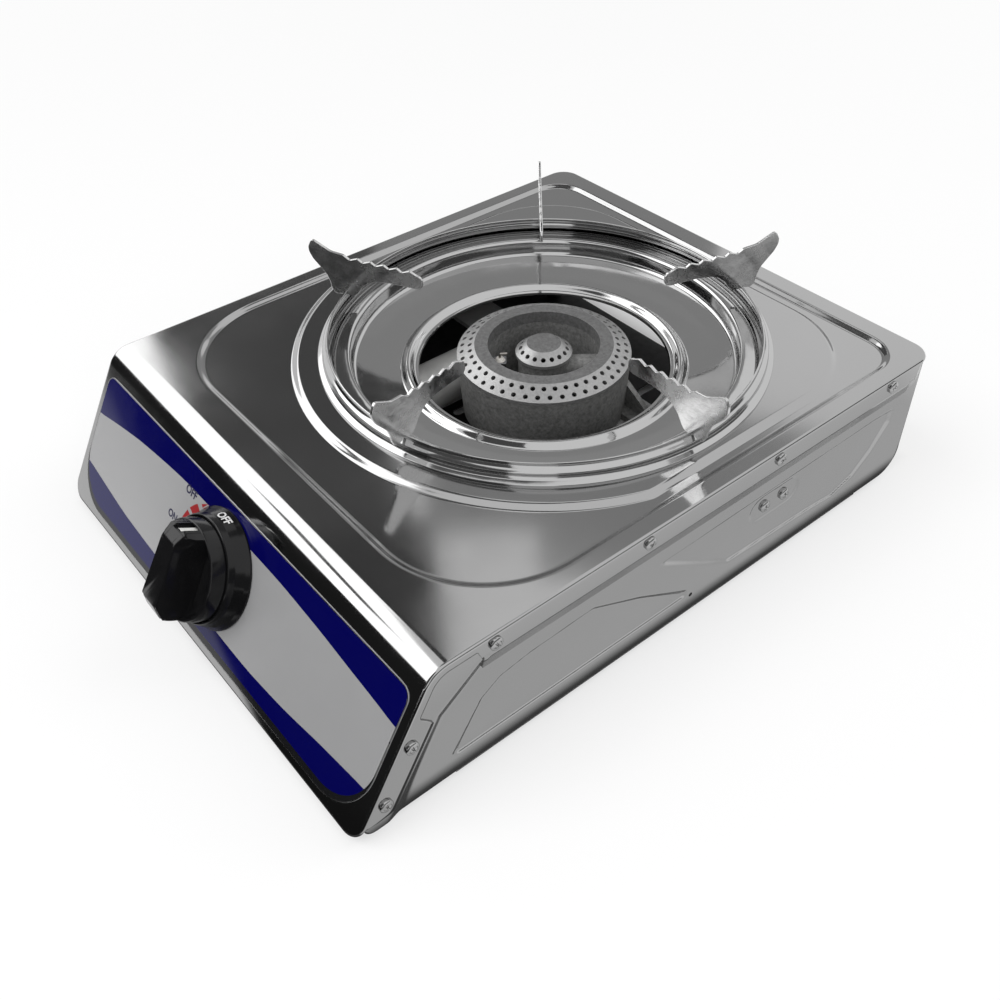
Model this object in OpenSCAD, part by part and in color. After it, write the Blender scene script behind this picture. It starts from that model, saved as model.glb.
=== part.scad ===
// Single-burner tabletop gas stove in bent and pressed stainless sheet.
// +X is right, +Y is back, +Z is up, and the origin is on the table under the middle of the outline.
// Inside in_body(), X and Y are counted from the burner axis and Z from the deck's upper face.
// Inside at_knob(), X is right, Y is up along the front face and Z is out of it, from the knob's centre.

/* [Body] */
// Width over the side flanges of the top shell
body_w = 290; // [280:1:320]
// Burner axis to the back edge of the deck
deck_back = 144.6; // [142:0.2:165]
// Burner axis to the sharp line where the deck and the front face would meet
deck_front = 182.3; // [176:0.1:205]
// Deck down to the lower edge of the side panels
panel_h = 76.8; // [75:0.2:95]
// Gap between the lower edge of the panels and the table
foot_gap = 4.2; // [3.4:0.1:8]
// Lean of the front face from the vertical, in degrees
face_lean = 30.8; // [26:0.2:34]
// Outside radius of the bend between the deck and the front face
bend_r = 15; // [8:0.5:18]
// Thickness of the shell's and the panels' sheet
sheet_t = 0.8; // [0.6:0.1:1]
// Radius of the deck's rear corners
corner_r = 12; // [6:1:14]
// Radius of the front face's lower corners
face_corner_r = 10; // [5:1:14]
// Height of the flange along each side
flange_h = 10.5; // [10:0.1:12]
// Burner axis to the front end of the side flange
flange_front = 159; // [156:0.5:162]
// Burner axis to the rear end of the side flange
flange_back = 131; // [120:0.5:132]
// Height of the sloping hem under the side flange
hem_h = 7.8; // [5:0.2:9]
// How far the hem leans in towards the panel
hem_in = 1.7; // [1:0.1:2.4]
// Width of the flange beside the front face
face_flange_w = 14; // [12:0.5:16]
// Width of the narrow rim that follows the bend
rim_w = 4.6; // [3:0.2:6]
// Height of the lip under the deck's back edge
rear_lip_h = 6; // [3:0.5:9]
// Deck's back edge to the outer face of the rear panel
rear_inset = 4.5; // [4:0.1:8]

/* [Deck pressing] */
// Depth of the pressed valley
press_depth = 2; // [1:0.1:3]
// Width of the valley's sloping walls
press_ramp = 4.6; // [3:0.2:6]
// Edge of the deck to the outer edge of the valley, at the sides
press_side = 8.5; // [7:0.1:11]
// Burner axis to the front edge of the valley
press_front = 160.5; // [157:0.5:162]
// Back edge of the deck to the back edge of the valley
press_back = 11.6; // [9:0.1:14]
// Corner radius of the valley at the front
press_front_r = 60; // [40:1:70]
// Corner radius of the valley at the back
press_back_r = 22; // [12:1:30]
// Width of the valley's floor at the sides
valley_w = 3.4; // [2:0.1:5]
// How far the plateau's front arc passes outside its straight sides
plateau_bulge = 7.5; // [4:0.5:10]
// Corner radius of the plateau at the back
plateau_back_r = 55; // [30:1:60]

/* [Side panel] */
// Depth of the pressed fields in the panel
field_depth = 1.2; // [0.8:0.1:1.6]
// Depth of the oval screw recess
oval_depth = 1.7; // [1:0.1:2.4]
// Length of the oval recess
oval_l = 40; // [34:1:44]
// Height of the oval recess
oval_h = 19; // [16:1:21]
// Radius of the curve at the panel's lower rear corner
panel_corner_r = 14; // [8:1:20]
// Radius of the panel's lower front corner
panel_toe_r = 6; // [3:0.5:9]
// Width of the panel's inward flanges
panel_flange_w = 11; // [9:0.5:14]
// Radius of the small hole near the lower edge
panel_hole_r = 1.2; // [0.8:0.1:2]

/* [Drip pan and trivet] */
// Gap between the trivet ring's rim and the pan's flange
pan_gap = 1.3; // [1:0.1:2]
// Width of the pan's flange
pan_flange_w = 9.2; // [8:0.2:12]
// Depth of the pan's wall
pan_depth = 10; // [8:0.5:12]
// Further fall of the floor towards the hole
pan_fall = 5; // [3:0.5:6]
// Radius of the pan's hole
pan_hole_r = 68.5; // [60:0.5:72]
// Height of the raised lip round the hole
pan_lip_h = 3; // [2:0.2:4]
// Width of the raised lip
pan_lip_w = 9; // [7:0.5:11]
// Thickness of the pan's sheet
pan_t = 0.7; // [0.5:0.1:1]
// Outer radius of the trivet ring's base
ring_r = 121.3; // [120.5:0.1:122]
// How far the ring's rim stands in from the edge of its base
ring_rim_in = 5.7; // [4.9:0.1:6.3]
// Height of the trivet ring
ring_h = 9; // [8:0.2:11]
// Thickness of the trivet ring's sheet
ring_t = 1.1; // [0.9:0.1:1.4]
// Number of trivet arms
arm_count = 5;
// From the ring's rim to the arms' inner ends
arm_reach = 47.1; // [44:0.1:52]
// From the ring's rim to the arms' outer tips
arm_over = 19.4; // [17:0.2:22]
// Height of the arms' tips above the deck
arm_h = 38.5; // [36:0.5:42]
// Thickness of an arm
arm_t = 1.6; // [1.2:0.1:2.2]
// Angle of the first arm from +X, in degrees
arm_turn = 68.3; // [60:0.1:76]
// Pitch of the anti-slip teeth
tooth_pitch = 7.6; // [7:0.1:8]
// Depth of the anti-slip teeth
tooth_depth = 2; // [1.2:0.1:2.6]

/* [Burner] */
// Outer radius of the ring cap
cap_r = 47.5; // [44:0.5:50]
// Radius where the ring cap's flat top ends
cap_flat_r = 37.7; // [36:0.1:40]
// Radius of the bore through the ring burner
bore_r = 30.6; // [28:0.2:32]
// Ring cap's top below the deck
cap_drop = 3.3; // [2:0.1:5]
// Height of the ring cap's sloping face
cap_slope_h = 5.1; // [4:0.1:6]
// Height of the ring cap's plain edge
cap_edge_h = 1.8; // [1.4:0.1:2.4]
// Thickness of the caps
cap_t = 2.2; // [1.8:0.1:2.6]
// Flame ports in each row of the ring cap
port_count = 44; // [36:1:48]
// Radius of a flame port in the ring cap
port_r = 1.3; // [0.9:0.05:1.4]
// Radius of the centre cap
centre_r = 15.5; // [14:0.1:16.5]
// Radius of the centre cap's flat top
centre_flat_r = 9.3; // [8:0.1:10]
// Flame ports in the centre cap
centre_port_count = 17; // [12:1:18]
// Radius of a flame port in the centre cap
centre_port_r = 1.3; // [1:0.05:1.4]
// Wall of the cast burner body
cast_t = 3; // [2.5:0.1:3.4]
// Direction of the duct from the ring to the centre, in degrees
duct_turn = 50; // [35:1:65]
// Radius at which the ignition electrode stands
spark_r = 24; // [23.5:0.1:24.5]
// Direction of the ignition electrode, in degrees
spark_turn = 232; // [220:1:245]

/* [Bridge and gas train] */
// Upper face of the bridge below the deck
bridge_drop = 43.5; // [41:0.5:46]
// Burner axis to the middle of the bridge
bridge_y = 30; // [27:0.5:32]
// Width of the bridge
bridge_w = 28; // [25:0.5:32]
// Thickness of the bridge
bridge_t = 1.2; // [1:0.1:1.6]
// Burner axis to the axis of the mixing tube, sideways
tube_x = 63.5; // [63:0.5:70]
// Outer radius of the mixing tube
tube_r = 14.5; // [12:0.5:14.8]
// Radius of the mixing tube's mouth
mouth_r = 17; // [15.5:0.5:18]
// Burner axis to the mixing tube's mouth
mouth_y = 140; // [130:1:146]
// Wall of the mixing tube
tube_t = 1.5; // [1.2:0.1:2]
// Outer radius of the gas pipes
pipe_r = 4; // [3.5:0.1:4.4]
// Bore radius of the gas pipes
pipe_bore_r = 3; // [2:0.1:3.2]
// Bend radius of the gas pipes
pipe_bend_r = 12; // [10:0.5:14]
// Side edge of the body to the inlet pipe
inlet_side = 27; // [25:0.5:35]
// Radius of the hose nozzle that the hose slides over
hose_r = 4.75; // [4.5:0.05:5.5]
// Length of the hose nozzle behind its collar
hose_l = 24; // [20:0.5:30]

/* [Knob and valve] */
// Sharp line at the top of the front face down to the knob's centre
knob_drop = 46.6; // [44:0.2:49]
// Radius of the bezel's base
bezel_r = 30; // [29:0.2:32]
// Height of the bezel
bezel_h = 11; // [9:0.2:12]
// Radius of the knob's drum
drum_r = 25; // [24:0.1:26]
// Height of the rim round the knob's dished face
drum_h = 18.5; // [17:0.1:20]
// Width of the knob's grip at its tail
grip_w = 15; // [13:0.2:17]
// Half length of the knob's grip
grip_reach = 24; // [22:0.1:24.2]
// Height of the grip's front face
grip_h = 31; // [28:0.2:34]
// Travel of the knob when it is pushed in
push_travel = 3.5; // [2:0.1:3.5]
// Radius of the valve's stem
stem_r = 3; // [2.5:0.1:3.5]
// Radius of the valve's barrel
barrel_r = 11; // [10:0.2:12]
// Length of the valve's barrel
barrel_l = 27; // [25:0.5:30]

/* [Label plate] */
// Side edge of the face to the side edge of the label
label_side = 5; // [4:0.5:8]
// Sharp line at the top of the face down to the label
label_top = 12.6; // [12:0.2:15]
// Height of the label plate
label_h = 72; // [66:0.5:73]
// Radius of the label's lower corners
label_low_r = 28; // [10:1:30]
// Thickness of the label plate
label_t = 0.4; // [0.3:0.1:0.6]

/* [Feet and screws] */
// Radius of a rubber foot
foot_r = 8; // [7:0.2:9]
// Side edge of the body to the middle of a foot
foot_side = 25; // [24:0.5:34]
// Radius of a pan-head screw's head
head_r = 3.3; // [2.8:0.1:3.6]
// Height of a screw's head
head_h = 2; // [1.6:0.1:2.2]
// Radius of a screw's shank
shank_r = 1.7; // [1.5:0.1:2]
// Length of a screw's shank
shank_l = 6; // [5:0.2:7]
// Pitch of the screws along the side flange
flange_screw_pitch = 86.9; // [84:0.1:88]

/* [Hidden] */
$fn = 96;
// Overrun of every cut past the face that it opens
cut = 1;
// Clearance between fixed pieces, and between pieces that move
fit = 0.1;
run = 0.3;
// Thin slab at each end of a sloping wall
skin = 0.01;
// Steps in an arc of an outline
arc_steps = 10;

half_w = body_w / 2;
deck_h = panel_h + foot_gap;
bend_turn = 90 - face_lean;
bend_run = bend_r * tan(bend_turn / 2);
face_len = panel_h / cos(face_lean);
hole_r = shank_r + fit;
// Places of the sheets, counted from the burner axis and the deck
border_x = half_w - sheet_t;
field_x = border_x - hem_in;
panel_in_x = field_x - sheet_t;
oval_x = field_x - oval_depth;
bridge_end = oval_x - sheet_t;
rear_y = deck_back - rear_inset;
panel_back = rear_y - sheet_t;
floor_z = -panel_h + sheet_t;
inlet_x = half_w - inlet_side;
plateau_x = half_w - press_side - press_ramp - valley_w - press_ramp;
plateau_r = plateau_x + plateau_bulge;
panel_toe_l = panel_toe_r / tan(bend_turn / 2);
flange_fillet = 2.5;
floor_fillet = 3;
ring_rim_r = ring_r - ring_rim_in;
pan_flange_r = ring_rim_r - ring_t - pan_gap;
pan_r = pan_flange_r - pan_flange_w;
deck_hole_r = pan_r + flange_fillet + fit;
arm_in = ring_rim_r - arm_reach;
arm_out = ring_rim_r + arm_over;
// Places of the knob and the gas train
knob_y = deck_front + knob_drop * sin(face_lean);
knob_z = -knob_drop * cos(face_lean);
bracket_t = 1.2;
port_depth = 24;
valve_port_y = -knob_y + port_depth * cos(face_lean);
valve_port_z = knob_z - port_depth * sin(face_lean);
barrel_back = sheet_t + bracket_t + barrel_l;
valve_flange_t = 3;
boss_l = 16;
screw_spread = 18;
// Places of the burner
cap_low = -cap_drop - cap_slope_h - cap_edge_h;
centre_top = -cap_drop - fit;
centre_low = centre_top - cap_slope_h - cap_edge_h;
bridge_z = -bridge_drop;
bridge_screw_rise = 5;
bridge_screw_z = bridge_z + bridge_screw_rise;
bridge_screw_pitch = 14.4;
hub_step = 1.5;
hub_r = centre_r - hub_step;
ear_gap = 5;
ear_x = cap_r + ear_gap;
horn_gap = 0.5;
horn_x = tube_x - tube_r - horn_gap;
horn_r = 10;
horn_bore_r = 7.5;
horn_y = 5;
sump_x = horn_x - horn_r;
// The model's reach along Y, from which the middle of its outline follows
grip_tail_share = [-0.72, 0.975];
front_reach = knob_y - grip_tail_share[0] * grip_reach * sin(face_lean)
    + grip_tail_share[1] * grip_h * cos(face_lean);
collar_l = 6;
back_reach = rear_y + collar_l + hose_l;
axis_y = (front_reach - back_reach) / 2;

module in_body() translate([0, axis_y, deck_h]) children();
module at_knob() in_body() translate([0, -deck_front, 0]) rotate([90 - face_lean, 0, 0])
    translate([0, -knob_drop, 0]) children();
// An outline drawn in (Y, Z) becomes a plate that starts at x and is t thick
module side_plate(x, t) translate([x, 0, 0]) rotate([90, 0, 90]) linear_extrude(t) children();
// Turns a piece drawn up along Z so that it runs back along Y, or right along X
module along_y() rotate([-90, 0, 0]) children();
module along_x() rotate([0, 90, 0]) children();
module both_sides() for (side = [0, 1]) mirror([side, 0, 0]) children();
module tube(r, bore, l) difference() {
    cylinder(r = r, h = l);
    translate([0, 0, -cut]) cylinder(r = bore, h = l + 2 * cut);
}
module pan_screw(l = shank_l) rotate_extrude() polygon([[0, head_h], [head_r * 0.5, head_h],
    [head_r * 0.85, head_h * 0.75], [head_r, head_h * 0.3], [head_r, 0], [shank_r, 0],
    [shank_r, -l], [0, -l]]);
module slot(l, w) union() {
    square([l - w, w], center = true);
    for (end = [-1, 1]) translate([end * (l - w) / 2, 0]) circle(d = w);
}

// Points on an arc about c from angle a to angle b
function arc(c, r, a, b, n = arc_steps) = [for (i = [0:n])
    c + r * [cos(a + (b - a) * i / n), sin(a + (b - a) * i / n)]];
function unit(v) = v / norm(v);
function left_of(v) = [-v[1], v[0]];
// The corner of the band that lies on the left of a path, at its point i
function mitre(p, i) = let (
    a = unit(p[max(i, 1)] - p[max(i, 1) - 1]),
    b = unit(p[min(i, len(p) - 2) + 1] - p[min(i, len(p) - 2)]),
    n = left_of(a) + left_of(b))
    n / (1 + a * b);
// Closed outline of a sheet of thickness t on the left of a path
function sheet_outline(p, t) = concat(p, [for (i = [len(p) - 1:-1:0]) p[i] + t * mitre(p, i)]);
// Rounded rectangle from x = -x to x, y0 to y1, with corner radii r0 at y0 and r1 at y1
function pressed_outline(x, y0, y1, r0, r1) = concat(
    arc([x - r0, y0 + r0], r0, -90, 0), arc([x - r1, y1 - r1], r1, 0, 90),
    arc([-x + r1, y1 - r1], r1, 90, 180), arc([-x + r0, y0 + r0], r0, 180, 270));
// Plateau: an arc about the burner at the front, straight sides and rounded back corners, grown by g
function plateau_outline(g) = let (
    x = plateau_x + g, r = plateau_r + g, b = plateau_back_r + g,
    y = deck_back - press_back - 2 * press_ramp - valley_w + g,
    half = acos(x / r))
    concat(arc([0, 0], r, -180 + half, -half, 3 * arc_steps),
        arc([x - b, y - b], b, 0, 90), arc([-x + b, y - b], b, 90, 180));
valley_edge = [half_w - press_side, -press_front, deck_back - press_back];
function valley_outline(g) = pressed_outline(valley_edge[0] - g, valley_edge[1] + g, valley_edge[2] - g,
    press_front_r - g, press_back_r - g);

// How far down the valley's walls the sheet under it starts
pad_share = 0.2;
// How far the valley's walls run on sideways within the height of a cut's overrun
press_over = press_ramp * cut / press_depth;

// A solid with sloping walls between outline a at height za and outline b at height zb above it
module sloped(a, za, b, zb) hull() {
    translate([0, 0, za]) linear_extrude(skin) polygon(a);
    translate([0, 0, zb]) linear_extrude(skin) polygon(b);
}
// The corners of a closed outline, each rounded over a length taken from list r
function softened(p, r) = let (n = len(p)) [for (i = [0:n - 1]) let (
    a = p[(i + n - 1) % n], b = p[i], c = p[(i + 1) % n], k = min(r[i], norm(a - b) / 2.1, norm(c - b) / 2.1),
    from = b + k * unit(a - b), to = b + k * unit(c - b))
    each (k == 0 ? [b] : [for (t = [0:0.2:1]) (1 - t) * (1 - t) * from + 2 * t * (1 - t) * b + t * t * to])];
// A point of the side view in (Y, Z): s down the front face from the sharp line, and w in from the face
function face_at(s, w) = [-deck_front - s * sin(face_lean) + w * cos(face_lean),
    -s * cos(face_lean) - w * sin(face_lean)];
// Screws along the side flange, and down the front flange, in (Y, Z)
flange_screw_end = 21.5;
flange_screws_back = flange_back - flange_screw_end;
face_screw_shares = [0.42, 0.76];
flange_screw_places = concat(
    [for (i = [0:3]) [flange_screws_back - i * flange_screw_pitch, -flange_h / 2]],
    [for (s = face_screw_shares) face_at(s * face_len, face_flange_w / 2)]);

// Flange in (Y, Z): wide beside the deck and the face, and a narrow rim along the bend.
// It starts inside the sheet.
strip_start = face_len * 0.27;
strip_end = face_len * 0.9;
function flange_outline() = let (
    outside = arc([-deck_front + bend_run, -bend_r], bend_r - sheet_t / 2, 90, 90 + bend_turn, 2 * arc_steps),
    face = [face_at(strip_end + face_corner_r * 0.2, sheet_t / 2), face_at(strip_end, face_flange_w * 0.3),
        face_at(strip_end * 0.88, face_flange_w * 0.9), face_at(strip_start, face_flange_w),
        face_at(strip_start, rim_w)],
    inside = arc([-deck_front + bend_run, -bend_r], bend_r - rim_w, 90 + bend_turn, 90, 2 * arc_steps),
    deck = [[-flange_front, -rim_w], [-flange_front, -flange_h], [flange_back, -flange_h],
        [flange_back, -sheet_t / 2]])
    softened(concat(outside, face, inside, deck), concat([for (p = outside) 0], [0, 0.3, 1, 0.3, 0.4] * rim_w,
        [for (p = inside) 0], [0.5, 0.5, 0.5, 0] * rim_w));
module shell_flange() difference() {
    union() {
        side_plate(border_x, sheet_t) polygon(flange_outline());
        translate([0, flange_back, 0]) rotate([90, 0, 0]) linear_extrude(flange_front + flange_back)
            polygon([[half_w, -flange_h], [border_x, -flange_h],
                [field_x, -flange_h - hem_h], [field_x + sheet_t, -flange_h - hem_h]]);
    }
    for (p = flange_screw_places) translate([border_x - cut, p[0], p[1]]) along_x()
        cylinder(r = hole_r, h = sheet_t + 2 * cut);
}
// What lies outside the rounded corner of a plate, from the middle of the corner's arc
module corner_cut(r) translate([0, 0, -sheet_t - cut]) linear_extrude(sheet_t + 2 * cut)
    polygon(concat([[r + cut, 0]], arc([0, 0], r, 0, 90), [[0, r + cut], [r + cut, r + cut]]));
shell_path = concat([[deck_back, 0]],
    arc([-deck_front + bend_run, -bend_r], bend_r, 90, 90 + bend_turn, 2 * arc_steps),
    [face_at(face_len, 0)]);
module top_shell() color("silver") in_body() {
    difference() {
        union() {
            side_plate(-half_w, body_w) polygon(sheet_outline(shell_path, sheet_t));
            translate([0, 0, -press_depth - sheet_t]) linear_extrude(press_depth) difference() {
                polygon(valley_outline(pad_share * press_ramp));
                polygon(plateau_outline(pad_share * press_ramp));
            }
        }
        difference() {
            sloped(valley_outline(press_ramp), -press_depth, valley_outline(-press_over), cut);
            sloped(plateau_outline(press_ramp + press_over), -press_depth - cut,
                plateau_outline(-2 * press_over), 2 * cut);
        }
        translate([0, 0, -press_depth - cut]) cylinder(r = deck_hole_r, h = press_depth + 2 * cut);
        both_sides() translate([half_w - corner_r, deck_back - corner_r, 0]) corner_cut(corner_r);
        translate([0, -deck_front, 0]) rotate([90 - face_lean, 0, 0]) {
            both_sides() translate([half_w - face_corner_r, -face_len + face_corner_r, 0]) rotate([0, 0, -90])
                corner_cut(face_corner_r);
            translate([0, -knob_drop, -sheet_t - cut]) {
                cylinder(r = neck_r + fit, h = sheet_t + 2 * cut);
                both_sides() translate([screw_spread, 0, 0]) cylinder(r = hole_r, h = sheet_t + 2 * cut);
            }
        }
    }
    translate([-half_w + corner_r, deck_back - sheet_t, -rear_lip_h])
        cube([body_w - 2 * corner_r, sheet_t, rear_lip_h]);
    both_sides() shell_flange();
}

// Side panel: its outline, and its pressed fields as shares of its length and height
function panel_outline() = let (in = sheet_t + fit, c = panel_corner_r, toe = panel_toe_r) concat(
    arc([-deck_front + bend_run, -bend_r], bend_r - in, 90, 90 + bend_turn),
    arc([-deck_front - panel_h * tan(face_lean) + in / cos(face_lean) + panel_toe_l, -panel_h + toe],
        toe, 180 - face_lean, 270),
    arc([panel_back - c, -panel_h + c], c, -90, 0), [[panel_back, -in]]);
function panel_at(s) = [-deck_front + s[0] * (deck_front + panel_back), -s[1] * panel_h];
front_field_shares = [[0.022, 0.83], [0.074, 0.50], [0.108, 0.41], [0.16, 0.378], [0.275, 0.36], [0.37, 0.55],
    [0.47, 0.79], [0.471, 0.85], [0.46, 0.865], [0.03, 0.865]];
rear_field_shares = [[0.40, 0.377], [0.415, 0.365], [0.90, 0.335], [0.945, 0.345], [0.945, 0.46],
    [0.91, 0.66], [0.87, 0.80], [0.82, 0.865], [0.76, 0.84], [0.56, 0.80], [0.50, 0.65]];
function field_outline(shares, g) = let (p = [for (s = shares) panel_at(s)], n = len(p))
    [for (i = [0:n - 1]) let (
    a = unit(p[i] - p[(i + n - 1) % n]), b = unit(p[(i + 1) % n] - p[i]))
    p[i] - g * (left_of(a) + left_of(b)) / (1 + a * b)];
function oval_outline(g) = let (r = oval_h / 2 + g, x = (oval_l - oval_h) / 2) concat(
    arc([bridge_y + x, bridge_screw_z], r, -90, 90), arc([bridge_y - x, bridge_screw_z], r, 90, 270));
// Cuts a sloping recess of depth d into the outside of a face at x
module pressed_field(a, b, x, d) rotate([90, 0, 90]) sloped(b, x - d, a, x);
module panel_plate(x, t) side_plate(x, t) polygon(panel_outline());
// The part of the panel that is pressed in below the flange and behind the front flange
function step_outline(g) = let (z = -flange_h - g * hem_h, d = [-sin(face_lean), -cos(face_lean)],
    w = face_flange_w + g * hem_h * 0.5, p = [-deck_front, 0] + w * [cos(face_lean), -sin(face_lean)],
    s = face_len * 0.27)
    [[deck_back, z], [-flange_front + g * hem_h, z], p + s * d, p + 2 * face_len * d,
        [deck_back, -2 * face_len]];
module side_panel() difference() {
    union() {
        difference() {
            panel_plate(panel_in_x, border_x - panel_in_x);
            pressed_field(step_outline(0), step_outline(1), border_x, hem_in);
            translate([field_x, flange_back, -flange_h - hem_h])
                cube([hem_in + cut, deck_back, flange_h + hem_h]);
            difference() {
                translate([panel_in_x - cut, -2 * deck_front, -2 * panel_h])
                    cube([hem_in + cut, 2 * deck_front + flange_back, 2 * panel_h]);
                side_plate(panel_in_x - 2 * cut, hem_in + 3 * cut) polygon(step_outline(0));
            }
        }
        side_plate(panel_in_x - field_depth, field_depth) {
            polygon(field_outline(front_field_shares, 0));
            polygon(field_outline(rear_field_shares, 0));
        }
        side_plate(bridge_end, panel_in_x - bridge_end) polygon(oval_outline(0));
        translate([panel_in_x - panel_flange_w, -deck_front, -panel_h])
            cube([panel_flange_w, deck_front + panel_back - panel_corner_r, sheet_t]);
        translate([panel_in_x - panel_flange_w, panel_back - sheet_t, -panel_h + panel_corner_r])
            cube([panel_flange_w, sheet_t, panel_h - panel_corner_r - sheet_t - 2 * flange_h]);
    }
    pressed_field(field_outline(front_field_shares, 0), field_outline(front_field_shares, field_depth),
        field_x, field_depth);
    pressed_field(field_outline(rear_field_shares, 0), field_outline(rear_field_shares, field_depth),
        field_x, field_depth);
    pressed_field(oval_outline(0), oval_outline(-oval_depth), field_x, oval_depth);
    for (p = flange_screw_places) translate([panel_in_x - cut, p[0], p[1]]) along_x()
        cylinder(r = hole_r, h = hem_in + sheet_t + 2 * cut);
    for (side = [-1, 1])
        translate([bridge_end - cut, bridge_y + side * bridge_screw_pitch / 2, bridge_screw_z])
        along_x() cylinder(r = hole_r, h = oval_depth + sheet_t + 2 * cut);
    translate([panel_in_x - 2 * cut, panel_at([0.47, 0])[0], -panel_h * 0.92]) along_x()
        cylinder(r = panel_hole_r, h = sheet_t + 4 * cut);
    for (p = base_screw_places) translate([p[0], p[1], -panel_h - cut])
        cylinder(r = hole_r, h = sheet_t + 2 * cut);
    for (z = rear_screw_heights) translate([rear_screw_x, panel_back - sheet_t - cut, z]) along_y()
        cylinder(r = hole_r, h = sheet_t + 2 * cut);
}
module right_side_panel() color("silver") in_body() side_panel();
module left_side_panel() color("silver") in_body() mirror([1, 0, 0]) side_panel();

base_screw_x = panel_in_x - panel_flange_w / 2;
base_screw_places = [for (s = [-0.8, -0.1, 0.6]) [base_screw_x, s * deck_front]];
rear_screw_x = panel_in_x - panel_flange_w / 2;
rear_screw_heights = [-panel_h * 0.38, -panel_h * 0.72];
rear_slot_count = 9;
rear_slot_pitch = body_w * 0.055;
module rear_panel() color("silver") in_body() difference() {
    translate([-panel_in_x, panel_back, -panel_h + panel_corner_r])
        cube([2 * panel_in_x, sheet_t, panel_h - panel_corner_r - 2 * sheet_t]);
    for (x = [-rear_screw_x, rear_screw_x]) for (z = rear_screw_heights)
        translate([x, panel_back - cut, z]) along_y() cylinder(r = hole_r, h = sheet_t + 2 * cut);
    translate([inlet_x, panel_back - cut, valve_port_z]) along_y()
        cylinder(r = nozzle_neck_r + fit, h = sheet_t + 2 * cut);
    for (i = [0:rear_slot_count - 1]) translate([(i - (rear_slot_count - 1) / 2) * rear_slot_pitch,
        panel_back + sheet_t + cut, -panel_h * 0.42]) rotate([90, 0, 0]) linear_extrude(sheet_t + 2 * cut)
        rotate(90) slot(panel_h * 0.32, slot_w);
}

// Bottom plate with rows of slots and the holes of its feet and screws
slot_w = 6;
foot_x = half_w - foot_side;
foot_neck_r = foot_r * 0.45;
foot_places = [[-foot_x, -deck_front + foot_side * 0.4], [foot_x, -deck_front + foot_side * 0.4],
    [-foot_x, panel_back - foot_side], [foot_x, panel_back - foot_side]];
bottom_front = deck_front + panel_h * tan(face_lean) - panel_toe_l - 3 * sheet_t;
vent_rows = 3;
vent_count = 7;
vent_pitch = body_w * 0.1;
module bottom_plate() color("dimgray") in_body() difference() {
    translate([-panel_in_x + fit, -bottom_front, floor_z])
        cube([2 * (panel_in_x - fit), bottom_front + panel_back - panel_corner_r, sheet_t]);
    for (p = foot_places) translate([p[0], p[1], floor_z - cut])
        cylinder(r = foot_neck_r + fit, h = sheet_t + 2 * cut);
    for (p = base_screw_places) for (side = [-1, 1]) translate([side * p[0], p[1], floor_z - cut])
        cylinder(r = hole_r, h = sheet_t + 2 * cut);
    for (row = [0:vent_rows - 1]) for (i = [0:vent_count - 1])
        translate([(i - (vent_count - 1) / 2) * vent_pitch, (row - 1) * deck_back / 2, floor_z - cut])
            linear_extrude(sheet_t + 2 * cut) rotate(90) slot(deck_back * 0.3, slot_w);
}

// Bridge: a channel across the body that carries the burner
bridge_lip = 3;
bridge_tab_h = 11;
bridge_tab_w = bridge_w - 2 * bridge_t;
module burner_bridge() color("gainsboro") in_body() translate([0, bridge_y, 0]) difference() {
    union() {
        translate([-bridge_end, -bridge_w / 2, bridge_z - bridge_t])
            cube([2 * bridge_end, bridge_w, bridge_t]);
        for (side = [0, 1]) mirror([0, side, 0])
            translate([-bridge_end, -bridge_w / 2, bridge_z - bridge_lip])
            cube([2 * bridge_end, bridge_t, bridge_lip]);
        both_sides() translate([bridge_end - bridge_t, -bridge_tab_w / 2, bridge_z - bridge_t])
            cube([bridge_t, bridge_tab_w, bridge_tab_h]);
    }
    both_sides() {
        for (side = [-1, 1])
            translate([bridge_end - bridge_t - cut, side * bridge_screw_pitch / 2, bridge_screw_z])
            along_x() cylinder(r = hole_r, h = bridge_t + 2 * cut);
        translate([ear_x, 0, bridge_z - bridge_t - cut]) cylinder(r = hole_r, h = bridge_t + 2 * cut);
        for (side = [-1, 1])
            translate([ear_x + horn_r + slot_w * 1.5, side * bridge_w / 4, bridge_z - bridge_t - cut])
            linear_extrude(bridge_t + 2 * cut) slot(slot_w * 2.6, slot_w * 0.8);
    }
}

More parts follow.
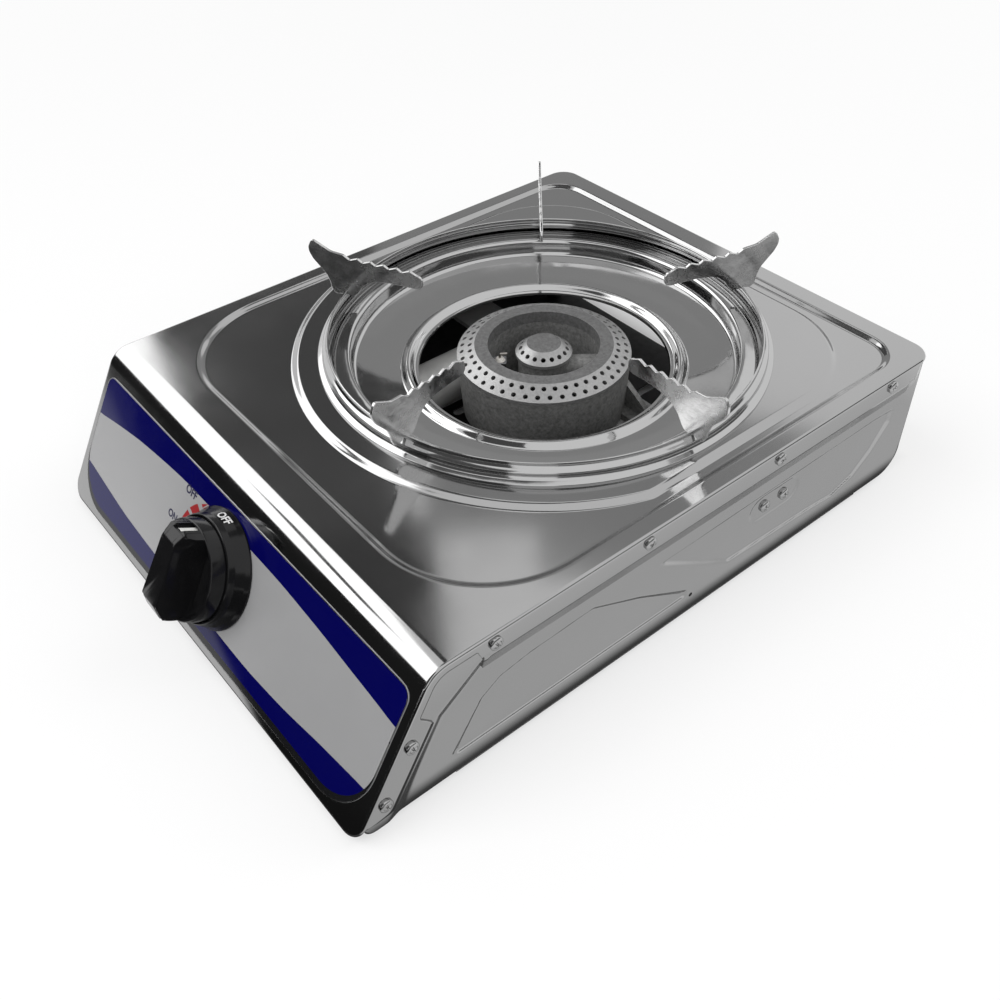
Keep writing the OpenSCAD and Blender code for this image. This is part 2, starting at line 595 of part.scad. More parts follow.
// Cast burner body: an annular trough, a hub on a duct, ears on the bridge and a horn to the mixing tube
cap_over = 0.2;
chamber_out = cap_r - cap_over - cast_t;
chamber_in = bore_r + cast_t;
cast_floor = bridge_z + cast_t;
hub_bore_r = hub_r - cast_t;
hub_low = centre_low - 7.5 * cast_t;
duct_r = hub_r * 0.54;
duct_z = centre_low - duct_r - 0.8 * cast_t;
ear_r = 8;
ear_t = 4;
lug_z = centre_low - 3.6 * cast_t;
lug_w = 3 * cast_t;
spark_rod_r = 3;
module burner_body() color("dimgray") in_body() difference() {
    union() {
        rotate_extrude() polygon([[bore_r, bridge_z], [chamber_out + cast_t * 0.4, bridge_z],
            [chamber_out + cast_t, cap_low], [chamber_out, cap_low], [chamber_out, cast_floor],
            [chamber_in, cast_floor], [chamber_in, cap_low], [bore_r, cap_low]]);
        translate([0, 0, hub_low]) cylinder(r = hub_r, h = centre_low - hub_low);
        rotate([0, 0, duct_turn]) translate([0, 0, duct_z]) along_x()
            cylinder(r = duct_r, h = bore_r + cast_t / 2);
        rotate([0, 0, spark_turn]) translate([spark_r - spark_rod_r, -lug_w / 2, lug_z])
            cube([bore_r + cast_t / 2 - spark_r + spark_rod_r, lug_w, cast_t]);
        for (side = [-1, 1]) {
            translate([side * ear_x, bridge_y, bridge_z]) cylinder(r = ear_r, h = ear_t);
            translate([side * (ear_x + chamber_in) / 2, bridge_y, bridge_z + ear_t / 2])
                cube([ear_x - chamber_in, 2 * ear_r, ear_t], center = true);
            translate([0, bridge_y + cast_t / 2, 0]) rotate([90, 0, 0]) linear_extrude(cast_t)
                polygon([[side * chamber_in, bridge_z + ear_t], [side * (ear_x + ear_r), bridge_z + ear_t],
                    [side * chamber_in, bridge_z + 5 * ear_t]]);
        }
        translate([-horn_x, -horn_y, valve_port_z]) along_x() cylinder(r = horn_r, h = horn_r);
        translate([-sump_x, -horn_y, valve_port_z - horn_r])
            cylinder(r = horn_r, h = cast_floor - valve_port_z + horn_r);
    }
    translate([0, 0, hub_low + cast_t]) cylinder(r = hub_bore_r, h = centre_low - hub_low);
    difference() {
        translate([0, 0, cast_floor]) cylinder(r = chamber_out, h = cap_low - cast_floor);
        translate([0, 0, cast_floor - cut]) cylinder(r = chamber_in, h = cap_low - cast_floor + 2 * cut);
    }
    rotate([0, 0, duct_turn]) translate([0, 0, duct_z]) along_x()
        cylinder(r = duct_r - cast_t, h = chamber_in + cut);
    rotate([0, 0, spark_turn]) translate([spark_r, 0, lug_z - cut])
        cylinder(r = spark_rod_r + fit, h = cast_t + 2 * cut);
    translate([-horn_x - cut, -horn_y, valve_port_z]) along_x() cylinder(r = horn_bore_r, h = horn_r + cut);
    translate([-sump_x, -horn_y, valve_port_z - horn_bore_r])
        cylinder(r = horn_bore_r, h = bridge_z - valve_port_z + horn_bore_r);
    translate([-(chamber_in + chamber_out) / 2, -horn_y, bridge_z - cut])
        cylinder(r = (chamber_out - chamber_in) / 2, h = cast_t + 2 * cut);
    for (side = [-1, 1]) translate([side * ear_x, bridge_y, bridge_z - cut]) cylinder(r = hole_r, h = ear_t);
}

// Caps: a top, a slope with the flame ports, an edge that stands on the wall below and a spigot inside it
spigot_l = 3;
spigot_t = 1;
slope_t = cap_t / cos(atan(cap_slope_h / (cap_r - cap_flat_r)));
ring_spigot_r = chamber_out - run;
centre_spigot_r = hub_bore_r - run;
// Drills n ports square to the slope between radii r0 and r1, a share s of the way down it
module ports(n, r, r0, r1, top, s, turn) let (lean = atan(cap_slope_h / (r1 - r0)))
    for (i = [0:n - 1]) rotate([0, 0, turn + i * 360 / n])
        translate([r0 + s * (r1 - r0), 0, top - s * cap_slope_h]) rotate([0, lean, 0])
            translate([0, 0, -3 * cap_t]) cylinder(r = r, h = 3 * cap_t + cut, $fn = 16);
port_row_shares = [0.27, 0.72];
module burner_ring_cap() color("gray") in_body() difference() {
    rotate_extrude() polygon([[bore_r, cap_low], [bore_r, -cap_drop], [cap_flat_r, -cap_drop],
        [cap_r, -cap_drop - cap_slope_h], [cap_r, cap_low], [ring_spigot_r, cap_low],
        [ring_spigot_r, cap_low - spigot_l], [ring_spigot_r - spigot_t, cap_low - spigot_l],
        [ring_spigot_r - spigot_t, -cap_drop - slope_t - cap_slope_h
            * (ring_spigot_r - spigot_t - cap_flat_r) / (cap_r - cap_flat_r)],
        [cap_flat_r, -cap_drop - slope_t], [bore_r + cap_t, -cap_drop - slope_t], [bore_r + cap_t, cap_low]]);
    ports(port_count, port_r, cap_flat_r, cap_r, -cap_drop, port_row_shares[0], 0);
    ports(port_count, port_r, cap_flat_r, cap_r, -cap_drop, port_row_shares[1], 180 / port_count);
}
module burner_centre_cap() color("gray") in_body() difference() {
    rotate_extrude() polygon([[0, centre_top], [centre_flat_r, centre_top],
        [centre_r, centre_top - cap_slope_h], [centre_r, centre_low], [centre_spigot_r, centre_low],
        [centre_spigot_r, centre_low - spigot_l], [centre_spigot_r - spigot_t, centre_low - spigot_l],
        [centre_spigot_r - spigot_t, centre_top - cap_t - cap_slope_h / 2],
        [centre_flat_r - cap_t, centre_top - cap_t], [0, centre_top - cap_t]]);
    ports(centre_port_count, centre_port_r, centre_flat_r, centre_r, centre_top, 0.55, 0);
}

// Mixing tube with a bell mouth, a throat and a side outlet to the burner's horn
module at_tube(y) in_body() translate([-tube_x, y, valve_port_z]) along_y() children();
tube_back = horn_y + horn_r + cast_t;
tube_l = mouth_y + tube_back - 2 * horn_y;
window_in = mouth_r * 0.5;
window_out = mouth_r - 2 * tube_t;
window_turn = 52;
nozzle_r = window_in - tube_t;
module windows(t) for (i = [0:2]) rotate([0, 0, i * 120]) translate([0, 0, -cut])
    rotate_extrude(angle = window_turn)
    translate([window_in, 0]) square([window_out - window_in, t + 2 * cut]);
module mixing_tube() color("lightgray") difference() {
    union() {
        at_tube(-mouth_y) rotate_extrude() polygon(sheet_outline([[mouth_r, 0], [mouth_r, 2 * tube_t],
            [tube_r * 0.97, tube_l * 0.07], [tube_r * 0.78, tube_l * 0.15], [tube_r * 0.78, tube_l * 0.22],
            [tube_r, tube_l * 0.48], [tube_r, tube_l - tube_r * 0.4], [tube_r * 0.9, tube_l - tube_r * 0.15],
            [tube_r * 0.6, tube_l], [0, tube_l]], tube_t));
        at_tube(-mouth_y) cylinder(r = mouth_r - tube_t / 2, h = tube_t);
        in_body() difference() {
            translate([-tube_x, -horn_y, valve_port_z]) along_x()
                cylinder(r = horn_r + 1.3 * tube_t, h = tube_x - horn_x);
            translate([-tube_x, -horn_y - 2 * horn_r, valve_port_z]) along_y()
                cylinder(r = tube_r - tube_t / 2, h = 4 * horn_r);
        }
    }
    at_tube(-mouth_y) windows(tube_t);
    at_tube(-mouth_y - cut) cylinder(r = nozzle_r + run, h = tube_t + 2 * cut);
    in_body() translate([-tube_x, -horn_y, valve_port_z]) along_x()
        cylinder(r = horn_bore_r, h = tube_x - horn_x + cut);
}
shutter_t = 1.2;
shutter_y = mouth_y + run + shutter_t;
module air_shutter() color("silver") at_tube(-shutter_y) difference() {
    union() {
        cylinder(r = mouth_r, h = shutter_t);
        translate([-slot_w / 2, -mouth_r - slot_w, 0]) cube([slot_w, slot_w + tube_t, shutter_t]);
    }
    windows(shutter_t);
    translate([0, 0, -cut]) cylinder(r = nozzle_r + run, h = shutter_t + 2 * cut);
}
hex_l = 8;
nozzle_hex_r = nozzle_r * 1.32;
nozzle_shank_l = shutter_t + 2 * run + 2 * tube_t;
nozzle_back = shutter_y + run + hex_l;
module injector_nozzle() color("goldenrod") at_tube(-nozzle_back) difference() {
    union() {
        cylinder(r = nozzle_hex_r, h = hex_l, $fn = 6);
        translate([0, 0, hex_l]) cylinder(r = nozzle_r, h = nozzle_shank_l);
        translate([0, 0, hex_l + nozzle_shank_l]) cylinder(r1 = nozzle_r, r2 = nozzle_r / 3, h = hex_l / 2);
    }
    translate([0, 0, -cut]) cylinder(r = pipe_bore_r, h = hex_l + cut);
    cylinder(r = nozzle_r / 10, h = 3 * hex_l);
}

// A gas pipe from the valve's boss out sideways to x, round a bend and back to y
module gas_pipe(x, y) translate([0, valve_port_y, valve_port_z]) {
    translate([boss_l, 0, 0]) along_x() tube(pipe_r, pipe_bore_r, x - boss_l - pipe_bend_r);
    translate([x - pipe_bend_r, pipe_bend_r, 0]) rotate([0, 0, -90]) rotate_extrude(angle = 90)
        translate([pipe_bend_r, 0]) difference() {
            circle(pipe_r);
            circle(pipe_bore_r);
        }
    translate([x, pipe_bend_r, 0]) along_y() tube(pipe_r, pipe_bore_r, y - valve_port_y - pipe_bend_r);
}
module injector_pipe() color("peru") in_body() mirror([1, 0, 0]) gas_pipe(tube_x, -nozzle_back);
module gas_inlet_pipe() color("peru") in_body() gas_pipe(inlet_x, panel_back - collar_l);
nozzle_neck_r = 7;
collar_r = 9;
groove_depth = hose_r * 0.16;
barb_pitch = 4;
module hose_nozzle() color("goldenrod") in_body()
    translate([inlet_x, panel_back - collar_l, valve_port_z]) along_y()
    difference() {
        union() {
            cylinder(r = collar_r, h = collar_l);
            cylinder(r = nozzle_neck_r, h = collar_l + sheet_t + collar_l);
            translate([0, 0, 2 * collar_l + sheet_t]) cylinder(r = hose_r, h = hose_l);
        }
        for (i = [1:3]) translate([0, 0, 2 * collar_l + sheet_t + hose_l - i * barb_pitch]) difference() {
            cylinder(r = hose_r + cut, h = barb_pitch / 2);
            cylinder(r1 = hose_r, r2 = hose_r - groove_depth, h = barb_pitch / 2);
        }
        translate([0, 0, -cut]) cylinder(r = pipe_bore_r, h = 2 * collar_l + sheet_t + hose_l + 2 * cut);
    }

// Valve on its bracket behind the face, with the push collar and the stem that the knob turns
neck_r = 7.5;
collar_wall = 2.2;
collar_bore_r = stem_r + collar_wall;
neck_end = 2;
collar_top = sheet_t + bracket_t + neck_end;
push_collar_l = 6;
barrel_end_l = 5;
stem_in = collar_top + push_collar_l + 2 * push_travel;
stem_out = 19;
valve_plate_w = 2 * screw_spread + 4 * shank_r;
module valve_bracket() color("silver") at_knob() translate([0, 0, -sheet_t - bracket_t]) difference() {
    union() {
        translate([-valve_plate_w * 0.7, -barrel_r * 1.6, 0])
            cube([valve_plate_w * 1.4, barrel_r * 3.2, bracket_t]);
        both_sides() translate([valve_plate_w * 0.7 - bracket_t, -barrel_r * 1.6, -3 * bracket_t])
            cube([bracket_t, barrel_r * 3.2, 4 * bracket_t]);
    }
    translate([0, 0, -cut]) cylinder(r = neck_r + fit, h = bracket_t + 2 * cut);
    both_sides() translate([screw_spread, 0, -cut]) cylinder(r = hole_r, h = bracket_t + 2 * cut);
}
module gas_valve() color("darkgray") at_knob() difference() {
    union() {
        translate([0, 0, -sheet_t - bracket_t - valve_flange_t]) {
            cylinder(r = neck_r, h = valve_flange_t + bracket_t + 2 * sheet_t);
            linear_extrude(valve_flange_t) slot(valve_plate_w, barrel_r * 1.6);
        }
        translate([0, 0, -barrel_back]) cylinder(r = barrel_r, h = barrel_l);
        translate([0, 0, -barrel_back - barrel_end_l]) cylinder(r = barrel_r * 0.75, h = barrel_end_l);
        translate([-boss_l, 0, -port_depth]) along_x() cylinder(r = pipe_r * 1.6, h = 2 * boss_l);
        translate([-barrel_r * 0.7, 0, -barrel_back]) cube([barrel_r * 1.4, barrel_r * 1.1, barrel_l * 0.85]);
    }
    translate([0, 0, -stem_in - push_travel - cut])
        cylinder(r = stem_r + fit, h = stem_in + 3 * push_travel + 2 * cut);
    translate([0, 0, -collar_top - push_collar_l - push_travel - run])
        cylinder(r = collar_bore_r, h = push_collar_l + push_travel + 2 * run);
    both_sides() translate([screw_spread, 0, -sheet_t - bracket_t - valve_flange_t - cut])
        cylinder(r = hole_r, h = valve_flange_t + 2 * cut);
}
module push_collar() color("goldenrod") at_knob() translate([0, 0, -collar_top - push_collar_l])
    tube(collar_bore_r - run / 3, stem_r + fit / 2, push_collar_l);
module valve_stem() color("goldenrod") at_knob() difference() {
    translate([0, 0, -stem_in]) cylinder(r = stem_r, h = stem_in + stem_out);
    translate([-stem_r, stem_r * 0.6, bezel_h / 2]) cube([2 * stem_r, stem_r, stem_out]);
}
spark_unit_h = 13;
spark_post_r = 3;
spark_post_l = 5;
module spark_unit() color("dimgray") at_knob() translate([0, barrel_r * 1.1, -barrel_back]) {
    translate([-barrel_r, 0, 0]) cube([2 * barrel_r, spark_unit_h, barrel_l * 0.85]);
    translate([0, spark_unit_h / 2, -spark_post_l]) cylinder(r = spark_post_r, h = spark_post_l);
}

// Knob: a drum inside the bezel, its dished face inside a thin rim, and a grip that widens towards its tail
drum_low = label_t + push_travel + bezel_h * 0.15;
drum_wall = 4;
drum_recess = 2;
drum_edge = 0.5;
drum_top_r = drum_r * 0.98;
dish_shares = [[0.925, 1], [0.905, 0.97], [0.88, 0.9], [0.83, 0.82], [0.74, 0.76], [0.6, 0.73], [0, 0.72]];
pointer_w = 7;
pointer_depth = 1.8;
pointer_low = 12.4;
// Side view of the grip in shares of its half length and its height
grip_side_shares = [[1, 0.85], [0.94, 0.9], [0.7, 1], grip_tail_share, [-0.92, 0.86], [-1, 0.78]];
// Plan of the grip, from w0 across its tail to w1 across the end with the pointer
function grip_plan(w0, w1) = [[-w0 / 2, -grip_reach], [w0 / 2, -grip_reach], [w1 / 2, grip_reach],
    [-w1 / 2, grip_reach]];
module knob() color("black") at_knob() difference() {
    union() {
        rotate_extrude() polygon(concat([[0, drum_low], [drum_r - run / 2, drum_low],
            [drum_r - run / 2, bezel_h], [drum_r, bezel_h + run], [drum_top_r, drum_h - drum_edge],
            [drum_top_r - drum_edge, drum_h]], [for (s = dish_shares) [s[0] * drum_r, s[1] * drum_h]]));
        intersection() {
            sloped(grip_plan(grip_w * 1.2, grip_w * 0.96), drum_low,
                grip_plan(grip_w, grip_w * 0.74), grip_h - skin);
            translate([0, 0, drum_low]) cylinder(r = grip_reach, h = grip_h - drum_low);
            side_plate(-grip_w, 2 * grip_w) polygon(concat([[-grip_reach, drum_low], [grip_reach, drum_low]],
                [for (s = grip_side_shares) [s[0] * grip_reach, s[1] * grip_h]]));
        }
    }
    translate([-pointer_w / 2, grip_reach - pointer_depth, pointer_low])
        cube([pointer_w, 2 * pointer_depth, grip_h]);
    translate([0, 0, -cut]) cylinder(r = drum_r - drum_wall, h = cut + drum_low + drum_recess);
    difference() {
        translate([0, 0, -cut]) cylinder(r = stem_r + fit / 2, h = cut + stem_out + fit);
        translate([-stem_r, stem_r * 0.6 + fit / 2, 0]) cube([2 * stem_r, stem_r, 2 * stem_out]);
    }
}
bezel_w = bezel_r - drum_r;
module knob_bezel() color("black") at_knob() rotate_extrude() polygon([[drum_r + run, label_t],
    [bezel_r, label_t],
    [bezel_r, bezel_h * 0.1], [bezel_r - bezel_w * 0.24, bezel_h * 0.28],
    [drum_r + bezel_w * 0.44, bezel_h * 0.68],
    [drum_r + bezel_w * 0.28, bezel_h * 0.97], [drum_r + bezel_w * 0.18, bezel_h], [drum_r + run, bezel_h]]);
module label_plate() color("gainsboro") at_knob() difference() {
    translate([0, knob_drop - label_top, 0]) linear_extrude(label_t)
        let (x = half_w - label_side, r = label_low_r,
        q = face_corner_r * 0.6) polygon(concat(
            arc([x - r, -label_h + r], r, -90, 0), arc([x - q, -q], q, 0, 90),
            arc([-x + q, -q], q, 90, 180), arc([-x + r, -label_h + r], r, 180, 270)));
    translate([0, 0, -cut]) cylinder(r = drum_r + 2 * run, h = label_t + 2 * cut);
}

// Electrode in its ceramic rod beside the centre cap, and the lead that feeds it
spark_low = lug_z - cast_t * 4;
spark_top = lug_z + 3 * cast_t;
spark_pin_r = 0.8;
spark_at = spark_r * [cos(spark_turn), sin(spark_turn)];
module ignition_electrode() color("white") in_body() rotate([0, 0, spark_turn]) translate([spark_r, 0, 0]) {
    translate([0, 0, spark_low]) cylinder(r = spark_rod_r, h = spark_top - spark_low);
    translate([-spark_rod_r * 1.2, -spark_rod_r * 1.2, lug_z + cast_t])
        cube([spark_rod_r * 2.4, spark_rod_r * 2.4, spark_rod_r * 1.5]);
    translate([0, 0, spark_top]) cylinder(r = spark_pin_r, h = 4 * spark_pin_r);
    translate([-5 * spark_pin_r, 0, spark_top + 3 * spark_pin_r]) along_x()
        cylinder(r = spark_pin_r, h = 5.5 * spark_pin_r);
}
lead_r = 1.1;
lead_sides = 8;
lead_post = [barrel_back + spark_post_l, barrel_r * 1.1 + spark_unit_h / 2];
lead_start = [0, -knob_y + lead_post[0] * cos(face_lean) + lead_post[1] * sin(face_lean),
    knob_z - lead_post[0] * sin(face_lean) + lead_post[1] * cos(face_lean)];
lead_rise = 8;
lead_low = floor_z + lead_rise;
// Places along the lead: share of the way sideways, length before its end, and height above its low run
lead_run = [[0.4, 90, 4], [0.8, 50, 0], [1, 20, 0], [1, 7, 4]];
lead_route = concat([lead_start, lead_start + 4 * lead_r * [0, cos(face_lean), -sin(face_lean)],
    [0.1 * spark_at[0], lead_start[1] + 2 * lead_rise, lead_start[2] - 1.5 * lead_rise]],
    [for (p = lead_run) [p[0] * spark_at[0], spark_at[1] - p[1], lead_low + p[2]]],
    [[spark_at[0], spark_at[1], spark_low - 5 * lead_r], [spark_at[0], spark_at[1], spark_low]]);
function lead_way(i) = let (n = len(lead_route)) i == n - 1 ? [0, 0, 1] :
    unit(lead_route[min(i + 1, n - 1)] - lead_route[max(i - 1, 0)]);
function lead_ring(i) = let (d = i == 0 ? unit(lead_route[1] - lead_route[0]) : lead_way(i),
    u = unit(cross(d, [1, 0, 0])), v = cross(d, u))
    [for (k = [0:lead_sides - 1])
        lead_route[i] + lead_r * (u * cos(k * 360 / lead_sides) + v * sin(k * 360 / lead_sides))];
module spark_lead() color("firebrick") in_body() let (n = len(lead_route), m = lead_sides) polyhedron(
    points = [for (i = [0:n - 1]) each lead_ring(i)],
    faces = concat([[for (k = [0:m - 1]) k]], [[for (k = [m - 1:-1:0]) (n - 1) * m + k]],
        [for (i = [0:n - 2]) for (k = [0:m - 1])
            [i * m + k, (i + 1) * m + k, (i + 1) * m + (k + 1) % m, i * m + (k + 1) % m]]));

// Drip pan: flange on the deck, wall, sloping floor and a raised lip round the hole
floor_low = pan_t - pan_depth - pan_fall;
module drip_pan() color("silver") in_body() rotate_extrude() polygon(sheet_outline(concat(
    [[pan_flange_r, pan_t]],
    arc([pan_r + flange_fillet, pan_t - flange_fillet], flange_fillet, 90, 180, 5),
    arc([pan_r - floor_fillet, pan_t - pan_depth + floor_fillet], floor_fillet, 0, -80, 5),
    [for (u = [0:0.1:1])
        [pan_hole_r + pan_lip_w * (1.15 - u), floor_low + pan_lip_h * (1 - cos(360 * u)) / 2]],
    [[pan_hole_r, floor_low - pan_lip_h / 2]]), pan_t));

// Trivet: a beaded ring that stands on the deck, and five arms that straddle its rim
module trivet_ring() color("silver") in_body() rotate_extrude() let (w = ring_rim_in) polygon(sheet_outline([
    [ring_r, 0], [ring_r, ring_h * 0.1], [ring_r - w * 0.45, ring_h * 0.2],
    [ring_r - w * 0.62, ring_h * 0.42],
    [ring_r - w * 0.5, ring_h * 0.58], [ring_r - w * 0.8, ring_h * 0.74], [ring_rim_r, ring_h * 0.86],
    [ring_rim_r, ring_h]], ring_t));
arm_nose_shares = [[0.06, 0.455], [0.02, 0.47], [0, 0.52], [0, 0.60], [0.02, 0.655], [0.05, 0.675]];
arm_tail_shares = [[0.69, 0.83], [0.80, 0.857], [0.88, 0.935], [0.935, 0.99], [0.955, 1], [0.975, 0.97],
    [1, 0.89],
    [1, 0.81], [0.97, 0.70], [0.92, 0.597], [0.865, 0.48], [0.842, 0.364], [0.835, 0.27]];
arm_belly_shares = [[0.545, 0.35], [0.49, 0.425], [0.43, 0.465], [0.32, 0.485], [0.17, 0.475]];
function arm_at(s) = [arm_in + s[0] * (arm_out - arm_in), s[1] * arm_h];
tooth_rise = tooth_pitch * 0.09;
teeth_start = 7.2;
function tooth_at(i) = [arm_in + teeth_start + i * tooth_pitch, arm_h * 0.73 + i * tooth_rise];
arm_teeth = [for (i = [0:4]) each [tooth_at(i), tooth_at(i + 0.62) - [0, tooth_depth]]];
rim_in = ring_rim_r - ring_t - fit;
rim_out = ring_rim_r + 2 * fit;
saddle_w = 6.6;
arm_outline = concat([for (s = arm_nose_shares) arm_at(s)], arm_teeth, [for (s = arm_tail_shares) arm_at(s)],
    [[rim_out + saddle_w, ring_h * 0.83], [rim_out + saddle_w * 0.67, ring_h * 0.76],
        [rim_out + saddle_w * 0.24, ring_h * 0.82], [rim_out, ring_h * 0.93], [rim_out, ring_h],
        [rim_in, ring_h], [rim_in, ring_h * 0.78], [rim_in - saddle_w * 0.6, ring_h * 0.74],
        [rim_in - saddle_w, ring_h]],
    [for (s = arm_belly_shares) arm_at(s)]);
module trivet_arm(i) color("silver") in_body() rotate([0, 0, arm_turn + (i - 1) * 360 / arm_count])
    translate([0, arm_t / 2, 0]) rotate([90, 0, 0]) linear_extrude(arm_t) polygon(arm_outline);

// Rubber foot with a neck through the bottom plate and a head above it
foot_h = foot_gap + sheet_t;
module foot(i) color("black") in_body()
    translate([foot_places[i][0], foot_places[i][1], -deck_h]) rotate_extrude()
    polygon([[0, 0], [foot_r * 0.86, 0], [foot_r, foot_h * 0.2], [foot_r * 0.94, foot_h],
        [foot_neck_r, foot_h],
        [foot_neck_r, foot_h + sheet_t], [foot_r * 0.7, foot_h + sheet_t],
        [foot_r * 0.4, foot_h + 4 * sheet_t],
        [0, foot_h + 4 * sheet_t]]);

module flange_screws() color("silver") in_body() both_sides() for (p = flange_screw_places)
    translate([half_w, p[0], p[1]]) along_x() pan_screw();
module bridge_screws() color("silver") in_body() both_sides() for (side = [-1, 1])
    translate([oval_x, bridge_y + side * bridge_screw_pitch / 2, bridge_screw_z]) along_x() pan_screw();
module base_screws() color("silver") in_body() both_sides() for (p = base_screw_places)
    translate([p[0], p[1], -panel_h]) rotate([180, 0, 0]) pan_screw();
module rear_screws() color("silver") in_body() both_sides() for (z = rear_screw_heights)
    translate([rear_screw_x, rear_y, z]) along_y() pan_screw();
module burner_screws() color("silver") in_body() both_sides()
    translate([ear_x, bridge_y, bridge_z - bridge_t]) rotate([180, 0, 0]) pan_screw(bridge_t + ear_t / 2);
module valve_screws() color("silver") at_knob() both_sides() translate([screw_spread, 0, 0])
    pan_screw(sheet_t + bracket_t + valve_flange_t);

top_shell();
left_side_panel();
right_side_panel();
rear_panel();
bottom_plate();
burner_bridge();
burner_body();
burner_ring_cap();
burner_centre_cap();
mixing_tube();
air_shutter();
injector_nozzle();
injector_pipe();
gas_valve();
valve_bracket();
spark_unit();
push_collar();
valve_stem();
knob();
knob_bezel();
label_plate();
gas_inlet_pipe();
hose_nozzle();
ignition_electrode();
spark_lead();
drip_pan();
trivet_ring();
trivet_arm(1);  // trivet_arm_1
trivet_arm(2);  // trivet_arm_2
trivet_arm(3);  // trivet_arm_3
trivet_arm(4);  // trivet_arm_4
trivet_arm(5);  // trivet_arm_5
foot(0);  // foot_front_left
foot(1);  // foot_front_right
foot(2);  // foot_back_left
foot(3);  // foot_back_right
flange_screws();
bridge_screws();
base_screws();
rear_screws();
burner_screws();
valve_screws();
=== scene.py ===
"""Finishes a single-burner tabletop gas stove: its bright pressed sheet, chromed trivet and pan, rough
cast burner, printed label and black knob, in a pale studio.

Lengths in the shape functions are millimetres from the burner's axis and the deck's upper face:
x to the right, y to the back, z up. in_row() turns them into the row's frame in metres.
"""
import math
import bmesh
import bpy
import numpy as np
from mathutils import Matrix, Vector


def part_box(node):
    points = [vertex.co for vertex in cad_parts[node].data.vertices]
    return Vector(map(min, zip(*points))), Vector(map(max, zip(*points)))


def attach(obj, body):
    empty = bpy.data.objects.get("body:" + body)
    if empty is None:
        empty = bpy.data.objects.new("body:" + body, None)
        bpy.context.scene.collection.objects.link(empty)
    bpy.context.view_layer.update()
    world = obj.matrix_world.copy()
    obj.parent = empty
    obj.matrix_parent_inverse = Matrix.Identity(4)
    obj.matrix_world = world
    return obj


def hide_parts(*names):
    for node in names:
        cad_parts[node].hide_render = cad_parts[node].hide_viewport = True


bl_info = {
    "name": "Tabletop gas stove",
    "version": (1, 0, 0),
    "blender": (4, 5, 0),
    "location": "3D View > Sidebar > Stove",
    "description": "Finishes the sheet metal, burner, trivet, label and knob of a tabletop gas stove",
    "category": "Object",
}

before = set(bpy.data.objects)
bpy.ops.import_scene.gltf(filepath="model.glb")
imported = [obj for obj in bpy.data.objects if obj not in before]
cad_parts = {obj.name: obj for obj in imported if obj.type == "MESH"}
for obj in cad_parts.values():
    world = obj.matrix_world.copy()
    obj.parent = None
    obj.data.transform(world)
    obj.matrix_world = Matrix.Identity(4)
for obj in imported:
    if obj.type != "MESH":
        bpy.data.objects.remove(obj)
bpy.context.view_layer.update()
MM = 0.001
RING_LOW, RING_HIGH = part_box("trivet_ring")
AXIS_Y = (RING_LOW.y + RING_HIGH.y) / 2 / MM
DECK_Z = RING_LOW.z / MM

# Proportions that the solids share with this file
HALF_W = 145.0
DECK_BACK = 144.6
DECK_FRONT = 182.3
PANEL_H = 76.8
LEAN_DEG = 30.8
LEAN = math.radians(LEAN_DEG)
BEND_R = 15.0
BEND_END = 180.0 - LEAN_DEG
SHEET = 0.8
CORNER_R = 12.0
FACE_CORNER_R = 10.0
FLANGE_H = 10.5
FLANGE_FRONT = 159.0
FLANGE_BACK = 131.0
FRONT_FLANGE_W = 14.0
HEM_W = 4.6
PANEL_BACK = 139.3
STEM_HOLE_R = 7.6
DECK_HOLE_R = 106.6
RING_SEAT_R = 118.0
FACE_LEN = PANEL_H / math.cos(LEAN)
BEND_RUN = BEND_R * math.tan((math.pi / 2 - LEAN) / 2)
KNOB_DROP = 46.6
RIGHT = np.array([1.0, 0, 0])
UP = np.array([0, 0, 1.0])
DOWN = np.array([0.0, -math.sin(LEAN), -math.cos(LEAN)])
OUT = np.array([0.0, -math.cos(LEAN), math.sin(LEAN)])
FACE_TOP = np.array([0.0, -DECK_FRONT, 0.0])
KNOB_AT = FACE_TOP + KNOB_DROP * DOWN
BEND_STEPS = 28


# ---------------------------------------------------------------- places and meshes
def in_row(points):
    """Millimetres from the burner's axis and the deck, as metres in the row's frame."""
    return (np.asarray(points, float) + np.array([0.0, AXIS_Y, DECK_Z])) * MM


def at_knob(x, y, z):
    """x to the right, y up the front face and z out of it from the knob's centre, from the burner's axis."""
    x, y, z = np.broadcast_arrays(np.asarray(x, float), np.asarray(y, float), np.asarray(z, float))
    return KNOB_AT + x[..., None] * RIGHT - y[..., None] * DOWN + z[..., None] * OUT


